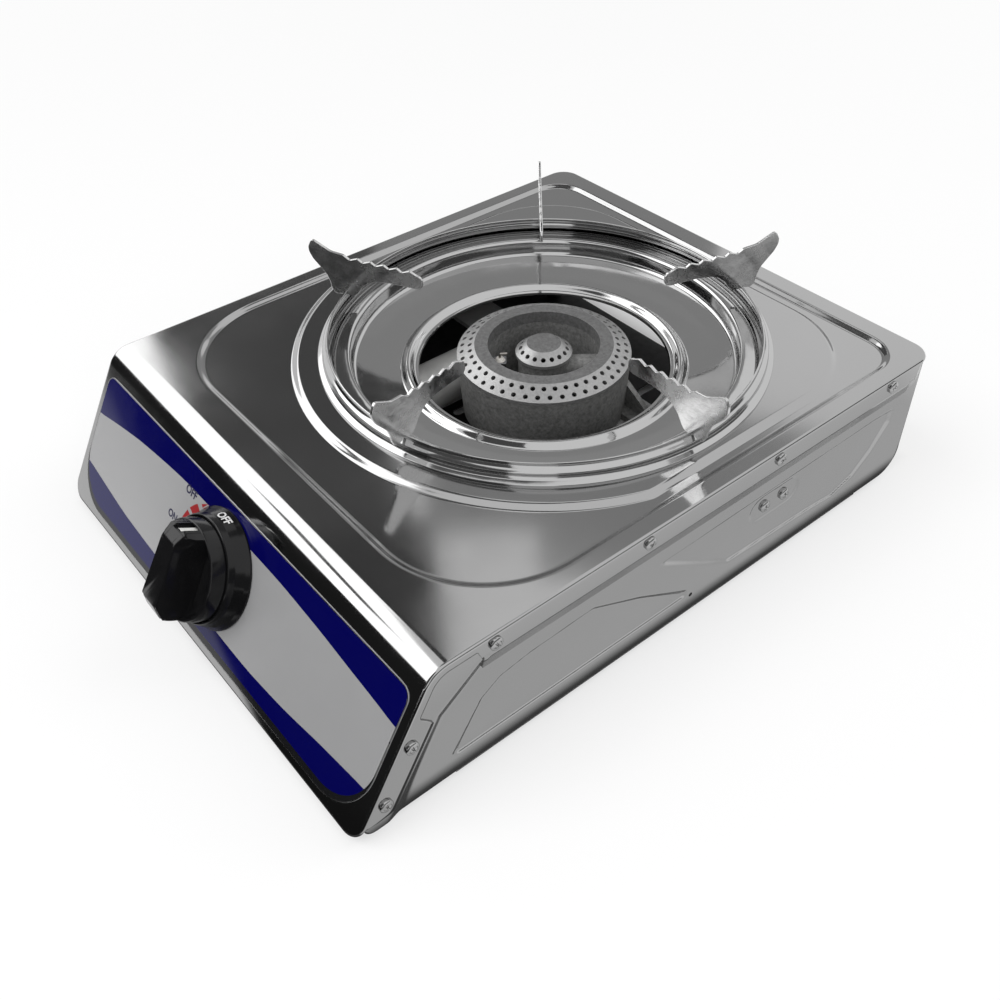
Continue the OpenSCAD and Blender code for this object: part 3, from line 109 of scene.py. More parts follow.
class Surface:
    """Grids of points that become one mesh."""

    def __init__(self):
        self.points, self.faces, self.count = [], [], 0

    def grid(self, points, wrap_u=False, wrap_v=False):
        """points[i, j] follows one parameter along i and another along j; each face joins four neighbours."""
        n, m = points.shape[:2]
        i = np.arange(n if wrap_u else n - 1)[:, None]
        j = np.arange(m if wrap_v else m - 1)[None, :]
        a, b = i * m + j, (i + 1) % n * m + j
        c, d = (i + 1) % n * m + (j + 1) % m, i * m + (j + 1) % m
        quads = np.stack([a, b, c, d], -1).reshape(-1, 4)
        self.faces += (quads + self.count).tolist()
        self.points.append(points.reshape(-1, 3))
        self.count += n * m
        return self

    def ring_face(self, points, flip=False):
        """One flat face round a closed row of points."""
        order = np.arange(len(points)) + self.count
        self.faces.append((order[::-1] if flip else order).tolist())
        self.points.append(points)
        self.count += len(points)
        return self

    def object(self, name, material, body, up=None, merge=1e-6, crease=35.0):
        """Puts the grids into a mesh at the origin. With up, the face that looks furthest that way points along it."""
        mesh = bpy.data.meshes.new(name)
        mesh.from_pydata(in_row(np.concatenate(self.points)).tolist(), [], self.faces)
        bm = bmesh.new()
        bm.from_mesh(mesh)
        bmesh.ops.remove_doubles(bm, verts=bm.verts, dist=merge)
        bmesh.ops.dissolve_degenerate(bm, edges=bm.edges, dist=1e-7)
        bmesh.ops.recalc_face_normals(bm, faces=bm.faces)
        if up is not None:
            way = Vector(up)
            face = max(bm.faces, key=lambda f: f.calc_center_median().dot(way))
            if face.normal.dot(way) < 0:
                bmesh.ops.reverse_faces(bm, faces=bm.faces)
        bm.to_mesh(mesh)
        bm.free()
        mesh.polygons.foreach_set("use_smooth", [True] * len(mesh.polygons))
        mesh.set_sharp_from_angle(angle=math.radians(crease))
        mesh.materials.append(material)
        piece = bpy.data.objects.new(name, mesh)
        bpy.context.scene.collection.objects.link(piece)
        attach(piece, body)
        return piece


def thicken(piece):
    """Gives an open sheet its metal, inwards from its outer face."""
    solid = piece.modifiers.new("metal", "SOLIDIFY")
    solid.thickness = SHEET * MM
    solid.offset = -1
    solid.use_even_offset = True


def soften(piece, width, segments=2, angle=35.0):
    """Rounds the piece's edges that are sharper than the angle."""
    bevel = piece.modifiers.new("edges", "BEVEL")
    bevel.width = width * MM
    bevel.segments = segments
    bevel.limit_method = "ANGLE"
    bevel.angle_limit = math.radians(angle)


def dress(node, material):
    """Puts a finish on a solid that keeps its own shape."""
    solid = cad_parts[node]
    solid.data.materials.clear()
    solid.data.materials.append(material)
    solid.data.polygons.foreach_set("use_smooth", [True] * len(solid.data.polygons))


def filleted(corners, radii, steps):
    """A path with each corner replaced by an arc that touches both its legs."""
    corners = np.asarray(corners, float)
    radii = np.broadcast_to(np.asarray(radii, float), len(corners))
    path = [corners[0]]
    for a, b, c, r in zip(corners, corners[1:], corners[2:], radii[1:]):
        u, v = (a - b) / np.linalg.norm(a - b), (c - b) / np.linalg.norm(c - b)
        half = math.acos(float(np.clip(u @ v, -1, 1))) / 2
        if r <= 0 or half > 1.56:
            path.append(b)
            continue
        reach = min(r / math.tan(half), 0.49 * np.linalg.norm(a - b), 0.49 * np.linalg.norm(c - b))
        middle = b + (u + v) / np.linalg.norm(u + v) * reach / math.cos(half)
        r = reach * math.tan(half)
        start, end = b + u * reach - middle, b + v * reach - middle
        turn = math.pi - 2 * half
        t = np.linspace(0, 1, steps)[:, None]
        path += list(middle + (np.sin((1 - t) * turn) * start + np.sin(t * turn) * end) / math.sin(turn))
    path.append(corners[-1])
    return np.array(path)


def offset_path(path, distance):
    """The path moved sideways to its left by a distance, mitred at its corners."""
    step = np.diff(path, axis=0)
    step /= np.maximum(np.linalg.norm(step, axis=1, keepdims=True), 1e-12)
    before, after = np.vstack([step[:1], step]), np.vstack([step, step[-1:]])
    left = lambda v: np.stack([-v[:, 1], v[:, 0]], -1)
    return path + distance * (left(before) + left(after)) / (1 + (before * after).sum(1))[:, None]


def closed_section(path, thickness, cap_steps=4):
    """A sheet's section: the path, a half-round end, the path moved to its left, and a half-round end."""
    back = offset_path(path, thickness)

    def end(a, b, way):
        t = np.linspace(0, math.pi, cap_steps + 2)[1:-1, None]
        return (a + b) / 2 + np.cos(t) * (a - b) / 2 + np.sin(t) * way * thickness / 2

    last = path[-1] - path[-2]
    first = path[0] - path[1]
    return np.vstack([path, end(path[-1], back[-1], last / np.linalg.norm(last)),
                      back[::-1], end(back[0], path[0], first / np.linalg.norm(first))])


def lathe(section, steps, centre=(0.0, 0.0, 0.0)):
    """A section in (radius, height) carried round the upright axis through the centre."""
    turn = np.linspace(0, 2 * math.pi, steps, endpoint=False)[:, None]
    r, z = section[None, :, 0], section[None, :, 1]
    return np.stack([r * np.cos(turn), r * np.sin(turn), z + 0 * turn], -1) + np.asarray(centre)


def arc(centre, radius, start, end, steps):
    """Points on an arc, angles in degrees."""
    t = np.radians(np.linspace(start, end, steps))[:, None]
    return np.asarray(centre) + radius * np.hstack([np.cos(t), np.sin(t)])


def rounded_box(x, y0, y1, r0, r1, n0=24, n1=24):
    """Rounded rectangle from -x to x and y0 to y1. Its corners have radius r0 and n0 points at y0, and r1 and n1
    at y1."""
    return np.vstack([arc((x - r0, y0 + r0), r0, -90, 0, n0), arc((x - r1, y1 - r1), r1, 0, 90, n1),
                      arc((-x + r1, y1 - r1), r1, 90, 180, n1), arc((-x + r0, y0 + r0), r0, 180, 270, n0)])


def reach_at(outline, turn):
    """Distance from the middle to a closed outline in each direction, found between the outline's dense points."""
    loop = np.vstack([outline, outline[:1]])
    t = np.linspace(0, 1, 40, endpoint=False)[None, :, None]
    dense = (loop[:-1, None] * (1 - t) + loop[1:, None] * t).reshape(-1, 2)
    angle = np.arctan2(dense[:, 1], dense[:, 0])
    order = np.argsort(angle)
    return np.interp(turn, angle[order], np.linalg.norm(dense, axis=1)[order], period=2 * math.pi)


def chord(r, h):
    """Half the chord of a circle of radius r at a distance h from its middle, and 0 outside the circle."""
    return np.sqrt(np.maximum(r ** 2 - h ** 2, 0))


def smooth_step(t):
    """0 below 0, 1 above 1, and a smooth rise between."""
    t = np.clip(t, 0, 1)
    return t * t * (3 - 2 * t)


# ---------------------------------------------------------------- finishes
class Finish:
    """A material under construction: the shader's sockets, and patterns that read Object coordinates."""

    def __init__(self, name, colour, metal=0.0, rough=0.5, **sockets):
        self.material = bpy.data.materials.new(name)
        self.material.use_nodes = True
        self.tree = self.material.node_tree
        self.shader = self.tree.nodes["Principled BSDF"]
        self.place = self.tree.nodes.new("ShaderNodeTexCoord").outputs["Object"]
        self.set("Base Color", (*colour, 1)).set("Metallic", metal).set("Roughness", rough)
        for socket, value in sockets.items():
            self.set(socket.replace("_", " "), value)

    def set(self, socket, value):
        """Gives one of the shader's sockets a value."""
        self.shader.inputs[socket].default_value = value
        return self

    def node(self, kind, **inputs):
        """A node with its sockets set to values, or linked where a value is another node's socket."""
        made = self.tree.nodes.new("ShaderNode" + kind)
        for name, value in inputs.items():
            socket = made.inputs[name.replace("_", " ")]
            if isinstance(value, bpy.types.NodeSocket):
                self.tree.links.new(value, socket)
            else:
                socket.default_value = value
        return made

    def noise(self, scale, detail, roughness=0.5, stretch=(1, 1, 1)):
        """Noise with that many cells in a metre, drawn out along an axis by a small stretch."""
        moved = self.node("Mapping", Vector=self.place, Scale=stretch).outputs[0]
        made = self.node("TexNoise", Vector=moved, Scale=scale, Detail=detail, Roughness=roughness)
        return made.outputs["Fac"]

    def ranged(self, value, low, high, start=0.3, end=0.7):
        """The value carried from the range start to end onto low to high."""
        made = self.node("MapRange", Value=value)
        for name, number in (("From Min", start), ("From Max", end), ("To Min", low), ("To Max", high)):
            made.inputs[name].default_value = number
        return made.outputs["Result"]

    def link(self, output, socket):
        """Links an output to one of the shader's sockets."""
        self.tree.links.new(output, self.shader.inputs[socket])
        return self

    def tones(self, fac, low, high):
        """Base colour that varies between two tones."""
        mix = self.tree.nodes.new("ShaderNodeMix")
        mix.data_type = "RGBA"
        mix.inputs["A"].default_value = (*low, 1)
        mix.inputs["B"].default_value = (*high, 1)
        self.tree.links.new(fac, mix.inputs["Factor"])
        return self.link(mix.outputs["Result"], "Base Color")

    def from_axis(self):
        """Distance of a point from the burner's upright axis, in metres."""
        value = self.place
        for operation, other in (("SUBTRACT", (0, AXIS_Y * MM, 0)), ("MULTIPLY", (1, 1, 0)), ("LENGTH", None)):
            made = self.tree.nodes.new("ShaderNodeVectorMath")
            made.operation = operation
            self.tree.links.new(value, made.inputs[0])
            if other:
                made.inputs[1].default_value = other
            value = made.outputs["Value" if operation == "LENGTH" else "Vector"]
        return value

    def maths(self, operation, a, b=0.0):
        """Two values joined by one of the Math node's operations."""
        made = self.node("Math")
        made.operation = operation
        for value, socket in zip((a, b), made.inputs):
            if isinstance(value, bpy.types.NodeSocket):
                self.tree.links.new(value, socket)
            else:
                socket.default_value = value
        return made.outputs[0]

    def times(self, a, b):
        """Two values multiplied."""
        return self.maths("MULTIPLY", a, b)

    def bump(self, height, distance):
        """Relief of that height in metres, on top of any that is there already."""
        made = self.node("Bump", Height=height, Distance=distance, Strength=1.0)
        if self.shader.inputs["Normal"].links:
            self.tree.links.new(self.shader.inputs["Normal"].links[0].from_socket, made.inputs["Normal"])
        return self.link(made.outputs["Normal"], "Normal")


def bright_sheet(name, tone, rough, wave=0.00006):
    """Bright rolled sheet: long faint waves from pressing, a drift in polish and a fine rolled grain."""
    made = Finish(name, (tone, tone, tone * 1.01), 1.0, rough)
    polish = made.noise(14, 4, 0.6)
    made.link(made.ranged(polish, rough * 0.7, rough * 1.5), "Roughness")
    made.tones(made.noise(9, 3), [tone * 0.93] * 3, [tone * 1.05] * 3)
    made.bump(made.noise(7, 2, 0.4), wave * 6)
    return made.bump(made.noise(900, 2, 0.5, (1, 0.12, 1)), wave * 0.02).material


def plated(name, tone, rough):
    """Plated steel: very smooth, with faint ripples that follow the forming."""
    made = Finish(name, (tone, tone, tone), 1.0, rough)
    made.link(made.ranged(made.noise(40, 3), rough * 0.6, rough * 1.8), "Roughness")
    return made.bump(made.noise(45, 2, 0.5), 0.00012).material


def stamped(name, tone, rough):
    """Plated stampings: small dimples and softer edges under the plating."""
    made = Finish(name, (tone, tone, tone), 1.0, rough)
    made.link(made.ranged(made.noise(90, 4, 0.6), rough * 0.6, rough * 1.7), "Roughness")
    made.bump(made.noise(120, 3, 0.5), 0.00022)
    return made.bump(made.noise(900, 2), 0.00001).material


def cast(name, low, high, rough, grain):
    """Sand-cast iron: grains of two sizes, and a drift between two dark tones."""
    made = Finish(name, high, 0.35, rough, Specular_IOR_Level=0.6)
    made.tones(made.ranged(made.noise(500, 5, 0.65), 0, 1), low, high)
    made.link(made.ranged(made.noise(300, 4), rough * 0.8, min(1, rough * 1.25)), "Roughness")
    made.bump(made.noise(420, 4, 0.65), grain)
    return made.bump(made.noise(1500, 2, 0.6), grain * 0.35).material


def turned_cap(name, bore, flat):
    """A cast cap turned on its slope: bright satin where the ports are, fine matt grey on the flat top within the
    radius flat, and rough in the bore, where painted light makes it a little paler, all found from the distance to the
    burner's axis."""
    made = Finish(name, (0.3, 0.3, 0.3), 0.75, 0.45)
    r = made.from_axis()
    slope = made.ranged(r, 0, 1, (flat - 0.1) * MM, (flat + 0.15) * MM)
    # Painted light: the bore's tone is lifted a little paler, against the shade that falls in it
    inside = made.ranged(r, 1, 0, (bore + 0.05) * MM, (bore + 0.4) * MM)
    grain = made.ranged(made.noise(650, 4, 0.6), -0.05, 0.05)
    tone = made.maths("ADD", made.ranged(slope, 0.19, 0.37, 0, 1), grain)
    tone = made.times(tone, made.ranged(inside, 1, 1.25, 0, 1))
    made.link(made.node("CombineColor", Red=tone, Green=tone, Blue=tone).outputs[0], "Base Color")
    made.link(made.maths("ADD", made.ranged(slope, 0.6, 0.4, 0, 1), grain), "Roughness")
    return made.bump(made.noise(420, 4, 0.65), 0.00006).material


def plain_metal(name, colour, rough, grain=300, relief=0.00003, metal=1.0):
    """Turned, drawn or cast metal left as made."""
    made = Finish(name, colour, metal, rough)
    drift = made.noise(grain * 0.3, 3)
    made.tones(made.ranged(drift, 0, 1), [c * 0.85 for c in colour], [min(1, c * 1.08) for c in colour])
    made.link(made.ranged(made.noise(grain, 3), rough * 0.75, rough * 1.3), "Roughness")
    return made.bump(made.noise(grain * 3, 2), relief).material


def plastic(name, colour, rough, relief=0.00001, coat=0.0, shine=0.5):
    """Moulded plastic, rubber or glaze: a soft drift in gloss and a fine skin."""
    made = Finish(name, colour, 0.0, rough, Coat_Weight=coat, Coat_Roughness=0.05, Specular_IOR_Level=shine)
    made.link(made.ranged(made.noise(120, 3), rough * 0.8, rough * 1.25), "Roughness")
    made.tones(made.ranged(made.noise(60, 2), 0, 1), [c * 0.9 for c in colour], [min(1, c * 1.1) for c in colour])
    return made.bump(made.noise(1400, 2), relief).material


def ink(name, colour, rough, low, high):
    """Printer's ink: one even colour, with a drift in its gloss between two roughnesses."""
    made = Finish(name, tuple(colour), 0.0, rough, Specular_IOR_Level=0.35)
    return made.link(made.ranged(made.noise(50, 3), low, high), "Roughness").material


# ---------------------------------------------------------------- settings
class StoveFinish(bpy.types.PropertyGroup):
    """Colours and sizes that a user of the stove would change."""
    sheet_tone: bpy.props.FloatProperty(name="Sheet tone", description="Lightness of the bright sheet",
                                        default=0.42, min=0.2, max=0.95, subtype="FACTOR")
    plate_tone: bpy.props.FloatProperty(name="Plating tone", description="Lightness of the trivet and the pan",
                                        default=0.5, min=0.2, max=0.95, subtype="FACTOR")
    band_colour: bpy.props.FloatVectorProperty(name="Band colour", description="Colour of the label's bands",
                                               default=(0.001, 0.001, 0.07), size=3, subtype="COLOR")
    label_colour: bpy.props.FloatVectorProperty(name="Label colour", description="Colour of the label's field",
                                                default=(0.40, 0.40, 0.405), size=3, subtype="COLOR")
    dial_colour: bpy.props.FloatVectorProperty(name="Dial colour", description="Colour of the marks round the knob",
                                               default=(0.30, 0.004, 0.007), size=3, subtype="COLOR")
    knob_colour: bpy.props.FloatVectorProperty(name="Knob colour", description="Colour of the knob and its bezel",
                                               default=(0.006, 0.006, 0.0065), size=3, subtype="COLOR")
    press_depth: bpy.props.FloatProperty(name="Pressing depth", description="Depth of the valley in the deck",
                                         default=2 * MM, min=0.5 * MM, max=3 * MM, unit="LENGTH")
    press_ramp: bpy.props.FloatProperty(name="Pressing slope", description="Width of the valley's walls",
                                        default=4.6 * MM, min=2 * MM, max=8 * MM, unit="LENGTH")
    edge_round: bpy.props.FloatProperty(name="Edge radius", description="Radius of the shell's folded side edges",
                                        default=1.4 * MM, min=0.9 * MM, max=3 * MM, unit="LENGTH")
    field_depth: bpy.props.FloatProperty(name="Field depth", description="Depth of the side panels' pressed fields",
                                         default=1.2 * MM, min=0.4 * MM, max=2 * MM, unit="LENGTH")


def settings():
    """The colours and sizes that the scene holds."""
    return bpy.context.scene.stove_finish


# ---------------------------------------------------------------- top shell
def plateau_outline(grow):
    """The raised middle: an arc about the burner at the front, straight sides and rounded back corners."""
    half_w, front_r, corner_r, back = 123.9 + grow, 131.4 + grow, 55 + grow, 120.4 + grow
    aside = math.degrees(math.acos(half_w / front_r))
    x, y = half_w - corner_r, back - corner_r
    return np.vstack([arc((0, 0), front_r, -180 + aside, -aside, 80), arc((x, y), corner_r, 0, 90, 40),
                      arc((-x, y), corner_r, 90, 180, 40)])


def deck_rows(depth, ramp, turn):
    """Rows round the burner from the deck's hole outwards. Each pressed wall is a smooth step across a family of
    outlines that lie at equal distances from one another."""
    half_w, front, back, front_r, back_r = 136.5, -160.5, 133.0, 60, 22
    valley = lambda g: rounded_box(half_w - g, front + g, back - g, front_r - g, back_r - g)
    rows = [(arc((0, 0), r, 0, 360, 361)[:-1], 0.0) for r in (DECK_HOLE_R, RING_SEAT_R)]
    across = np.linspace(-0.15, 1.15, 14)
    for outline, shares in ((plateau_outline, across), (valley, across[::-1])):
        rows += [(outline(t * ramp), -depth * float(smooth_step(t))) for t in shares]
    reach = [(reach_at(outline, turn), height) for outline, height in rows]
    return [np.stack([r * np.cos(turn), r * np.sin(turn), 0 * r + height], -1) for r, height in reach]


def spread(points, x):
    """Points in (y, z) of the side view at a distance x from its middle."""
    return np.column_stack([np.full(len(points), x), points])


def flat(points):
    """Points in (x, y) at the deck's height."""
    return np.column_stack([points, np.zeros(len(points))])


def rim_path(edge, columns):
    """The one line that the deck, the bend, the face and the rim share: down the right side, along the face's
    bottom, up the left side and round the deck's back. Beside it the way outwards, the way inwards, and how
    wide the folded rim is. Last, how many of its points lie along a side of the deck, and how many round its back."""
    half, front, least = HALF_W - edge, -DECK_FRONT + BEND_RUN, 1.05 * edge
    bend_at = np.array([front, -BEND_R])
    y = np.concatenate([np.linspace(FLANGE_BACK, -157.0, 88), np.linspace(-157.0, -162.0, 9)[1:],
                        [-165.5, -169.5, front + 0.35, front]])
    bend = arc(bend_at, BEND_R, 90, BEND_END, BEND_STEPS)[1:]
    low, r = FACE_LEN - edge, FACE_CORNER_R - edge
    s = np.concatenate([[BEND_RUN + 0.35], np.linspace(BEND_RUN + 3, low - r, 52)])
    face = FACE_TOP[1:] + s[:, None] * DOWN[1:]
    side = spread(np.vstack([np.stack([y, 0 * y], -1), bend, face]), half)
    to_middle = np.hstack([np.zeros((len(bend), 1)), (bend_at - bend) / BEND_R])
    inward = np.vstack([np.tile(-UP, (len(y), 1)), to_middle, np.tile(-OUT, (len(s), 1))])
    outward = np.tile(RIGHT, (len(side), 1))

    # The rim's width: the side flange, a hem over the bend, the front flange and a hem at the bottom
    along = np.concatenate([0 * y, np.zeros(len(bend)), s])
    width = HEM_W + (FLANGE_H - HEM_W) * smooth_step((side[:, 1] + FLANGE_FRONT + 1.5) / 3.0) * (along == 0)
    width += (FRONT_FLANGE_W - HEM_W) * smooth_step((along - 23.0) / 3.5) * (1 - smooth_step((along - 72.0) / 9.0))
    width -= (HEM_W - least) * smooth_step((along - 78.0) / 3.0)

    turn = np.radians(np.linspace(0, 90, 12))[1:, None]
    way = np.cos(turn) * RIGHT + np.sin(turn) * DOWN
    corner = FACE_TOP + (half - r) * RIGHT + (low - r) * DOWN + r * way
    bottom = columns[(columns < half - r - 1) & (columns > -half + r + 1)][::-1]
    foot = FACE_TOP + low * DOWN + bottom[:, None] * RIGHT

    back_r, back = CORNER_R - edge, DECK_BACK - edge
    quarter, straight = arc((0, 0), 1, 180, 90, 20), np.linspace(-half + back_r, half - back_r, 62)[1:-1]
    hind = np.vstack([quarter * back_r + [-half + back_r, back - back_r],
                      np.stack([straight, np.full(len(straight), back)], -1),
                      (quarter * back_r)[::-1] * [-1, 1] + [half - back_r, back - back_r]])
    hind_way = np.vstack([quarter, np.tile([0.0, 1], (len(straight), 1)), quarter[::-1] * [-1, 1]])
    drop = least + np.clip((hind[:, 1] - DECK_BACK + CORNER_R * 0.35) / 3, 0, 1) * (6.0 - least)

    mirror = np.array([-1.0, 1, 1])
    points = np.vstack([side, corner, foot, (corner * mirror)[::-1], (side * mirror)[::-1], flat(hind)])
    plain = 2 * len(way) + len(foot)
    inward = np.vstack([inward, np.tile(-OUT, (plain, 1)), inward[::-1], np.tile(-UP, (len(hind), 1))])
    outward = np.vstack([outward, way, np.tile(DOWN, (len(foot), 1)), (way * mirror)[::-1],
                         (outward * mirror)[::-1], flat(hind_way)])
    width = np.concatenate([width, np.full(plain, least), width[::-1], drop])
    return points, outward, inward, width, len(y), len(hind)


def build_shell():
    """Deck and face are rows between a round hole and the shared line, the bend an arc carried sideways, and the
    rim a quarter round and a flat carried once all round the shared line."""
    s = settings()
    depth, ramp, edge = s.press_depth / MM, s.press_ramp / MM, s.edge_round / MM
    half, front = HALF_W - edge, -DECK_FRONT + BEND_RUN
    columns = np.concatenate([[-half, -half + 0.35], np.linspace(-half + 3, half - 3, 92), [half - 0.35, half]])
    points, outward, inward, width, deck_n, hind_n = rim_path(edge, columns)
    line = np.stack([columns[::-1], np.full(len(columns), front), 0 * columns], -1)
    deck_loop = np.vstack([points[:deck_n], line[1:-1], points[:deck_n][::-1] * [-1, 1, 1], points[-hind_n:]])
    turn = np.arctan2(deck_loop[:, 1], deck_loop[:, 0])
    rows = deck_rows(depth, ramp, turn) + [deck_loop * (1 - 0.0018), deck_loop]
    shell = Surface().grid(np.array(rows), wrap_v=True)

    bend = arc((front, -BEND_R), BEND_R, 90, BEND_END, BEND_STEPS)
    shell.grid(np.array([spread(bend, x) for x in columns]))

    first = deck_n + BEND_STEPS - 2
    face_loop = np.vstack([points[first:-first - hind_n], at_knob(columns[1:-1], KNOB_DROP - BEND_RUN, 0)])
    from_knob = face_loop - KNOB_AT
    far = np.linalg.norm(from_knob, axis=1, keepdims=True)
    shell.grid(np.array([KNOB_AT + from_knob / far * (STEM_HOLE_R + share * (far - STEM_HOLE_R))
                         for share in (0, 0.15, 0.5, 0.85, 0.997, 1.0)]), wrap_v=True)

    quarter = np.radians(np.linspace(0, 90, 7))
    rim = [points + outward * edge * math.sin(q) + inward * edge * (1 - math.cos(q)) for q in quarter]
    rim += [points + outward * edge + inward * (edge + share * (width - edge))[:, None]
            for share in (0.04, 0.4, 0.8, 1.0)]
    shell.grid(np.array(rim), wrap_v=True)

    # Below each side flange, a strip that leans in behind it
    y = points[:deck_n, 1]
    y = y[(y < FLANGE_BACK - 1.4) & (y > -FLANGE_FRONT + 1.6)]
    section = filleted([[HALF_W, -FLANGE_H], [HALF_W, -FLANGE_H - 0.4], [143.3, -18.3]], 1.2, 6)
    for side in (-1, 1):
        shell.grid(np.array([np.column_stack([np.full(len(y), side * a), y, np.full(len(y), b)]) for a, b in section]))
    piece = shell.object("shell_sheet", bright_sheet("bright_shell_sheet", s.sheet_tone, 0.09), "chassis",
                         up=(0, 0, 1), merge=2e-5, crease=50)
    thicken(piece)
    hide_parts("top_shell")


# ---------------------------------------------------------------- side panels
FRONT_FIELD = [[-175.2, -63.7], [-158.4, -38.4], [-147.5, -31.5], [-130.8, -29.0], [-93.9, -27.6], [-63.3, -42.2],
               [-31.1, -60.7], [-30.8, -65.3], [-34.4, -66.4], [-172.6, -66.4]]
REAR_FIELD = [[-53.7, -29.0], [-48.8, -28.0], [107.1, -25.7], [121.6, -26.5], [121.6, -35.3], [110.4, -50.7],
              [97.5, -61.4], [81.4, -66.4], [62.1, -64.5], [-2.2, -61.4], [-21.5, -49.9]]


def distance_inside(points, outline):
    """How far each point lies inside a closed outline, negative outside: the distance to the nearest edge, with
    its sign from the number of edges that a level ray crosses."""
    outline = np.asarray(outline, float)
    near = np.full(points.shape[:-1], 1e9)
    inside = np.zeros(points.shape[:-1], bool)
    for a, b in zip(outline, np.roll(outline, -1, axis=0)):
        leg, gap = b - a, points - a
        t = np.clip((gap @ leg) / (leg @ leg), 0, 1)
        near = np.minimum(near, np.linalg.norm(gap - t[..., None] * leg, axis=-1))
        crosses = (a[1] > points[..., 1]) != (b[1] > points[..., 1])
        with np.errstate(divide="ignore", invalid="ignore"):
            at = a[0] + (points[..., 1] - a[1]) / (b[1] - a[1]) * leg[0]
        inside ^= crosses & (points[..., 0] < at)
    return np.where(inside, near, -near)


def oval_inside(points, centre, length, height):
    """How far each point lies inside an oval with round ends."""
    x = np.maximum(np.abs(points[..., 0] - centre[0]) - (length - height) / 2, 0)
    return height / 2 - np.hypot(x, points[..., 1] - centre[1])


def build_side_panels():
    """Each panel is a height over (y, z): the border by the flange steps in to the main plane, and smooth steps
    press in the two fields and the oval screw recess. Its rows run from the leaning front to the back edge."""
    s = settings()
    rows, columns = 116, 320
    inset, toe, corner = 0.9, 6.0, 14.0
    border_w, border_depth, field_w, oval_w, oval_depth = 7.8, 1.65, 2.4, 2.6, 1.7
    share = np.linspace(0, 1, rows)
    z = -inset - (PANEL_H - inset) * (0.55 * share + 0.45 * (1 - np.cos(math.pi * share)) / 2)
    in_face = inset / math.cos(LEAN)
    front = -DECK_FRONT + z * math.tan(LEAN) + in_face
    on_bend = z > -BEND_R + (BEND_R - inset) * math.sin(LEAN)
    front = np.where(on_bend, -DECK_FRONT + BEND_RUN - chord(BEND_R - inset, z + BEND_R), front)
    toe_y = -DECK_FRONT - PANEL_H * math.tan(LEAN) + in_face + toe / math.tan((math.pi / 2 - LEAN) / 2)
    on_toe = z < -PANEL_H + toe + toe * math.sin(LEAN)
    front = np.where(on_toe, toe_y - chord(toe, z + PANEL_H - toe), front)
    back = np.where(z < -PANEL_H + corner, PANEL_BACK - corner + chord(corner, z + PANEL_H - corner), PANEL_BACK)
    y = front[:, None] + (back - front)[:, None] * np.linspace(0, 1, columns)[None, :]
    points = np.stack([y, np.broadcast_to(z[:, None], y.shape)], -1)

    # The main plane's outline runs on past the panel's own edges where no flange borders it
    start = (FACE_TOP + FACE_LEN * 0.27 * DOWN - FRONT_FLANGE_W * OUT)[1:]
    inner = [[FLANGE_BACK, 4], [200, 4], [200, -200], list(start + 2 * FACE_LEN * DOWN[1:]), list(start),
             [-FLANGE_FRONT, -FLANGE_H], [FLANGE_BACK, -FLANGE_H]]
    step = smooth_step(distance_inside(points, inner) / border_w)
    in_field = np.maximum(distance_inside(points, FRONT_FIELD), distance_inside(points, REAR_FIELD))
    fields = smooth_step(in_field / field_w)
    oval = smooth_step(oval_inside(points, (30, -38.5), 40, 19) / oval_w)
    pressed = np.maximum(s.field_depth / MM * fields, oval_depth * oval)
    x = HALF_W - SHEET - 0.05 - border_depth * step - pressed

    turned_in = np.array([[0.0], [0.35], [1.0], [11.0]])
    metal = bright_sheet("bright_panel_sheet", s.sheet_tone, 0.13, 0.00005)
    for side, hand in ((1, "right"), (-1, "left")):
        foot = np.stack([side * (x[-1] - turned_in), np.broadcast_to(y[-1], (4, columns)),
                         np.full((4, columns), 0.01 - PANEL_H)], -1)
        panel = Surface().grid(np.stack([side * x, y, points[..., 1]], -1)).grid(foot[:, 40:-20])
        piece = panel.object(f"{hand}_side_sheet", metal, "chassis", up=(side, 0, 0), merge=1e-5, crease=40)
        thicken(piece)
        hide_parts(f"{hand}_side_panel")
    # Painted shade: a black disc a hair off the panel stands for the small hole, which is not cut
    hole = Surface().ring_face(spread(arc((-27.9, -66.3), 1.2, 0, 360, 25)[:-1], 142.53))
    mark = hole.object("drain_hole", plastic("drain_hole_shade", (0.01, 0.01, 0.01), 0.9), "chassis", up=(1, 0, 0))


# ---------------------------------------------------------------- drip pan and trivet
def build_drip_pan():
    """A spun section: flange, rolled shoulder, wall, sloping floor and a raised lip, with rounded ends."""
    u = np.linspace(0, 1, 26)
    lip = np.stack([68.5 + 9.0 * (1.15 - u), -14.3 + 1.5 * (1 - np.cos(2 * math.pi * u))], -1)
    path = np.vstack([[[113.2, 0.72]], [[110.0, 0.72]], arc((106.5, -1.8), 2.5, 90, 180, 10),
                      arc((101.0, -6.3), 3.0, 0, -80, 10), lip, [[68.9, -14.6]], [[68.55, -15.5]]])
    section = closed_section(path, 0.7)
    pan = Surface().grid(lathe(section, 320), wrap_u=True, wrap_v=True)
    piece = pan.object("drip_pan_sheet", plated("plated_pan", settings().plate_tone, 0.07), "pan_body", up=(0, 0, 1))
    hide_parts("drip_pan")


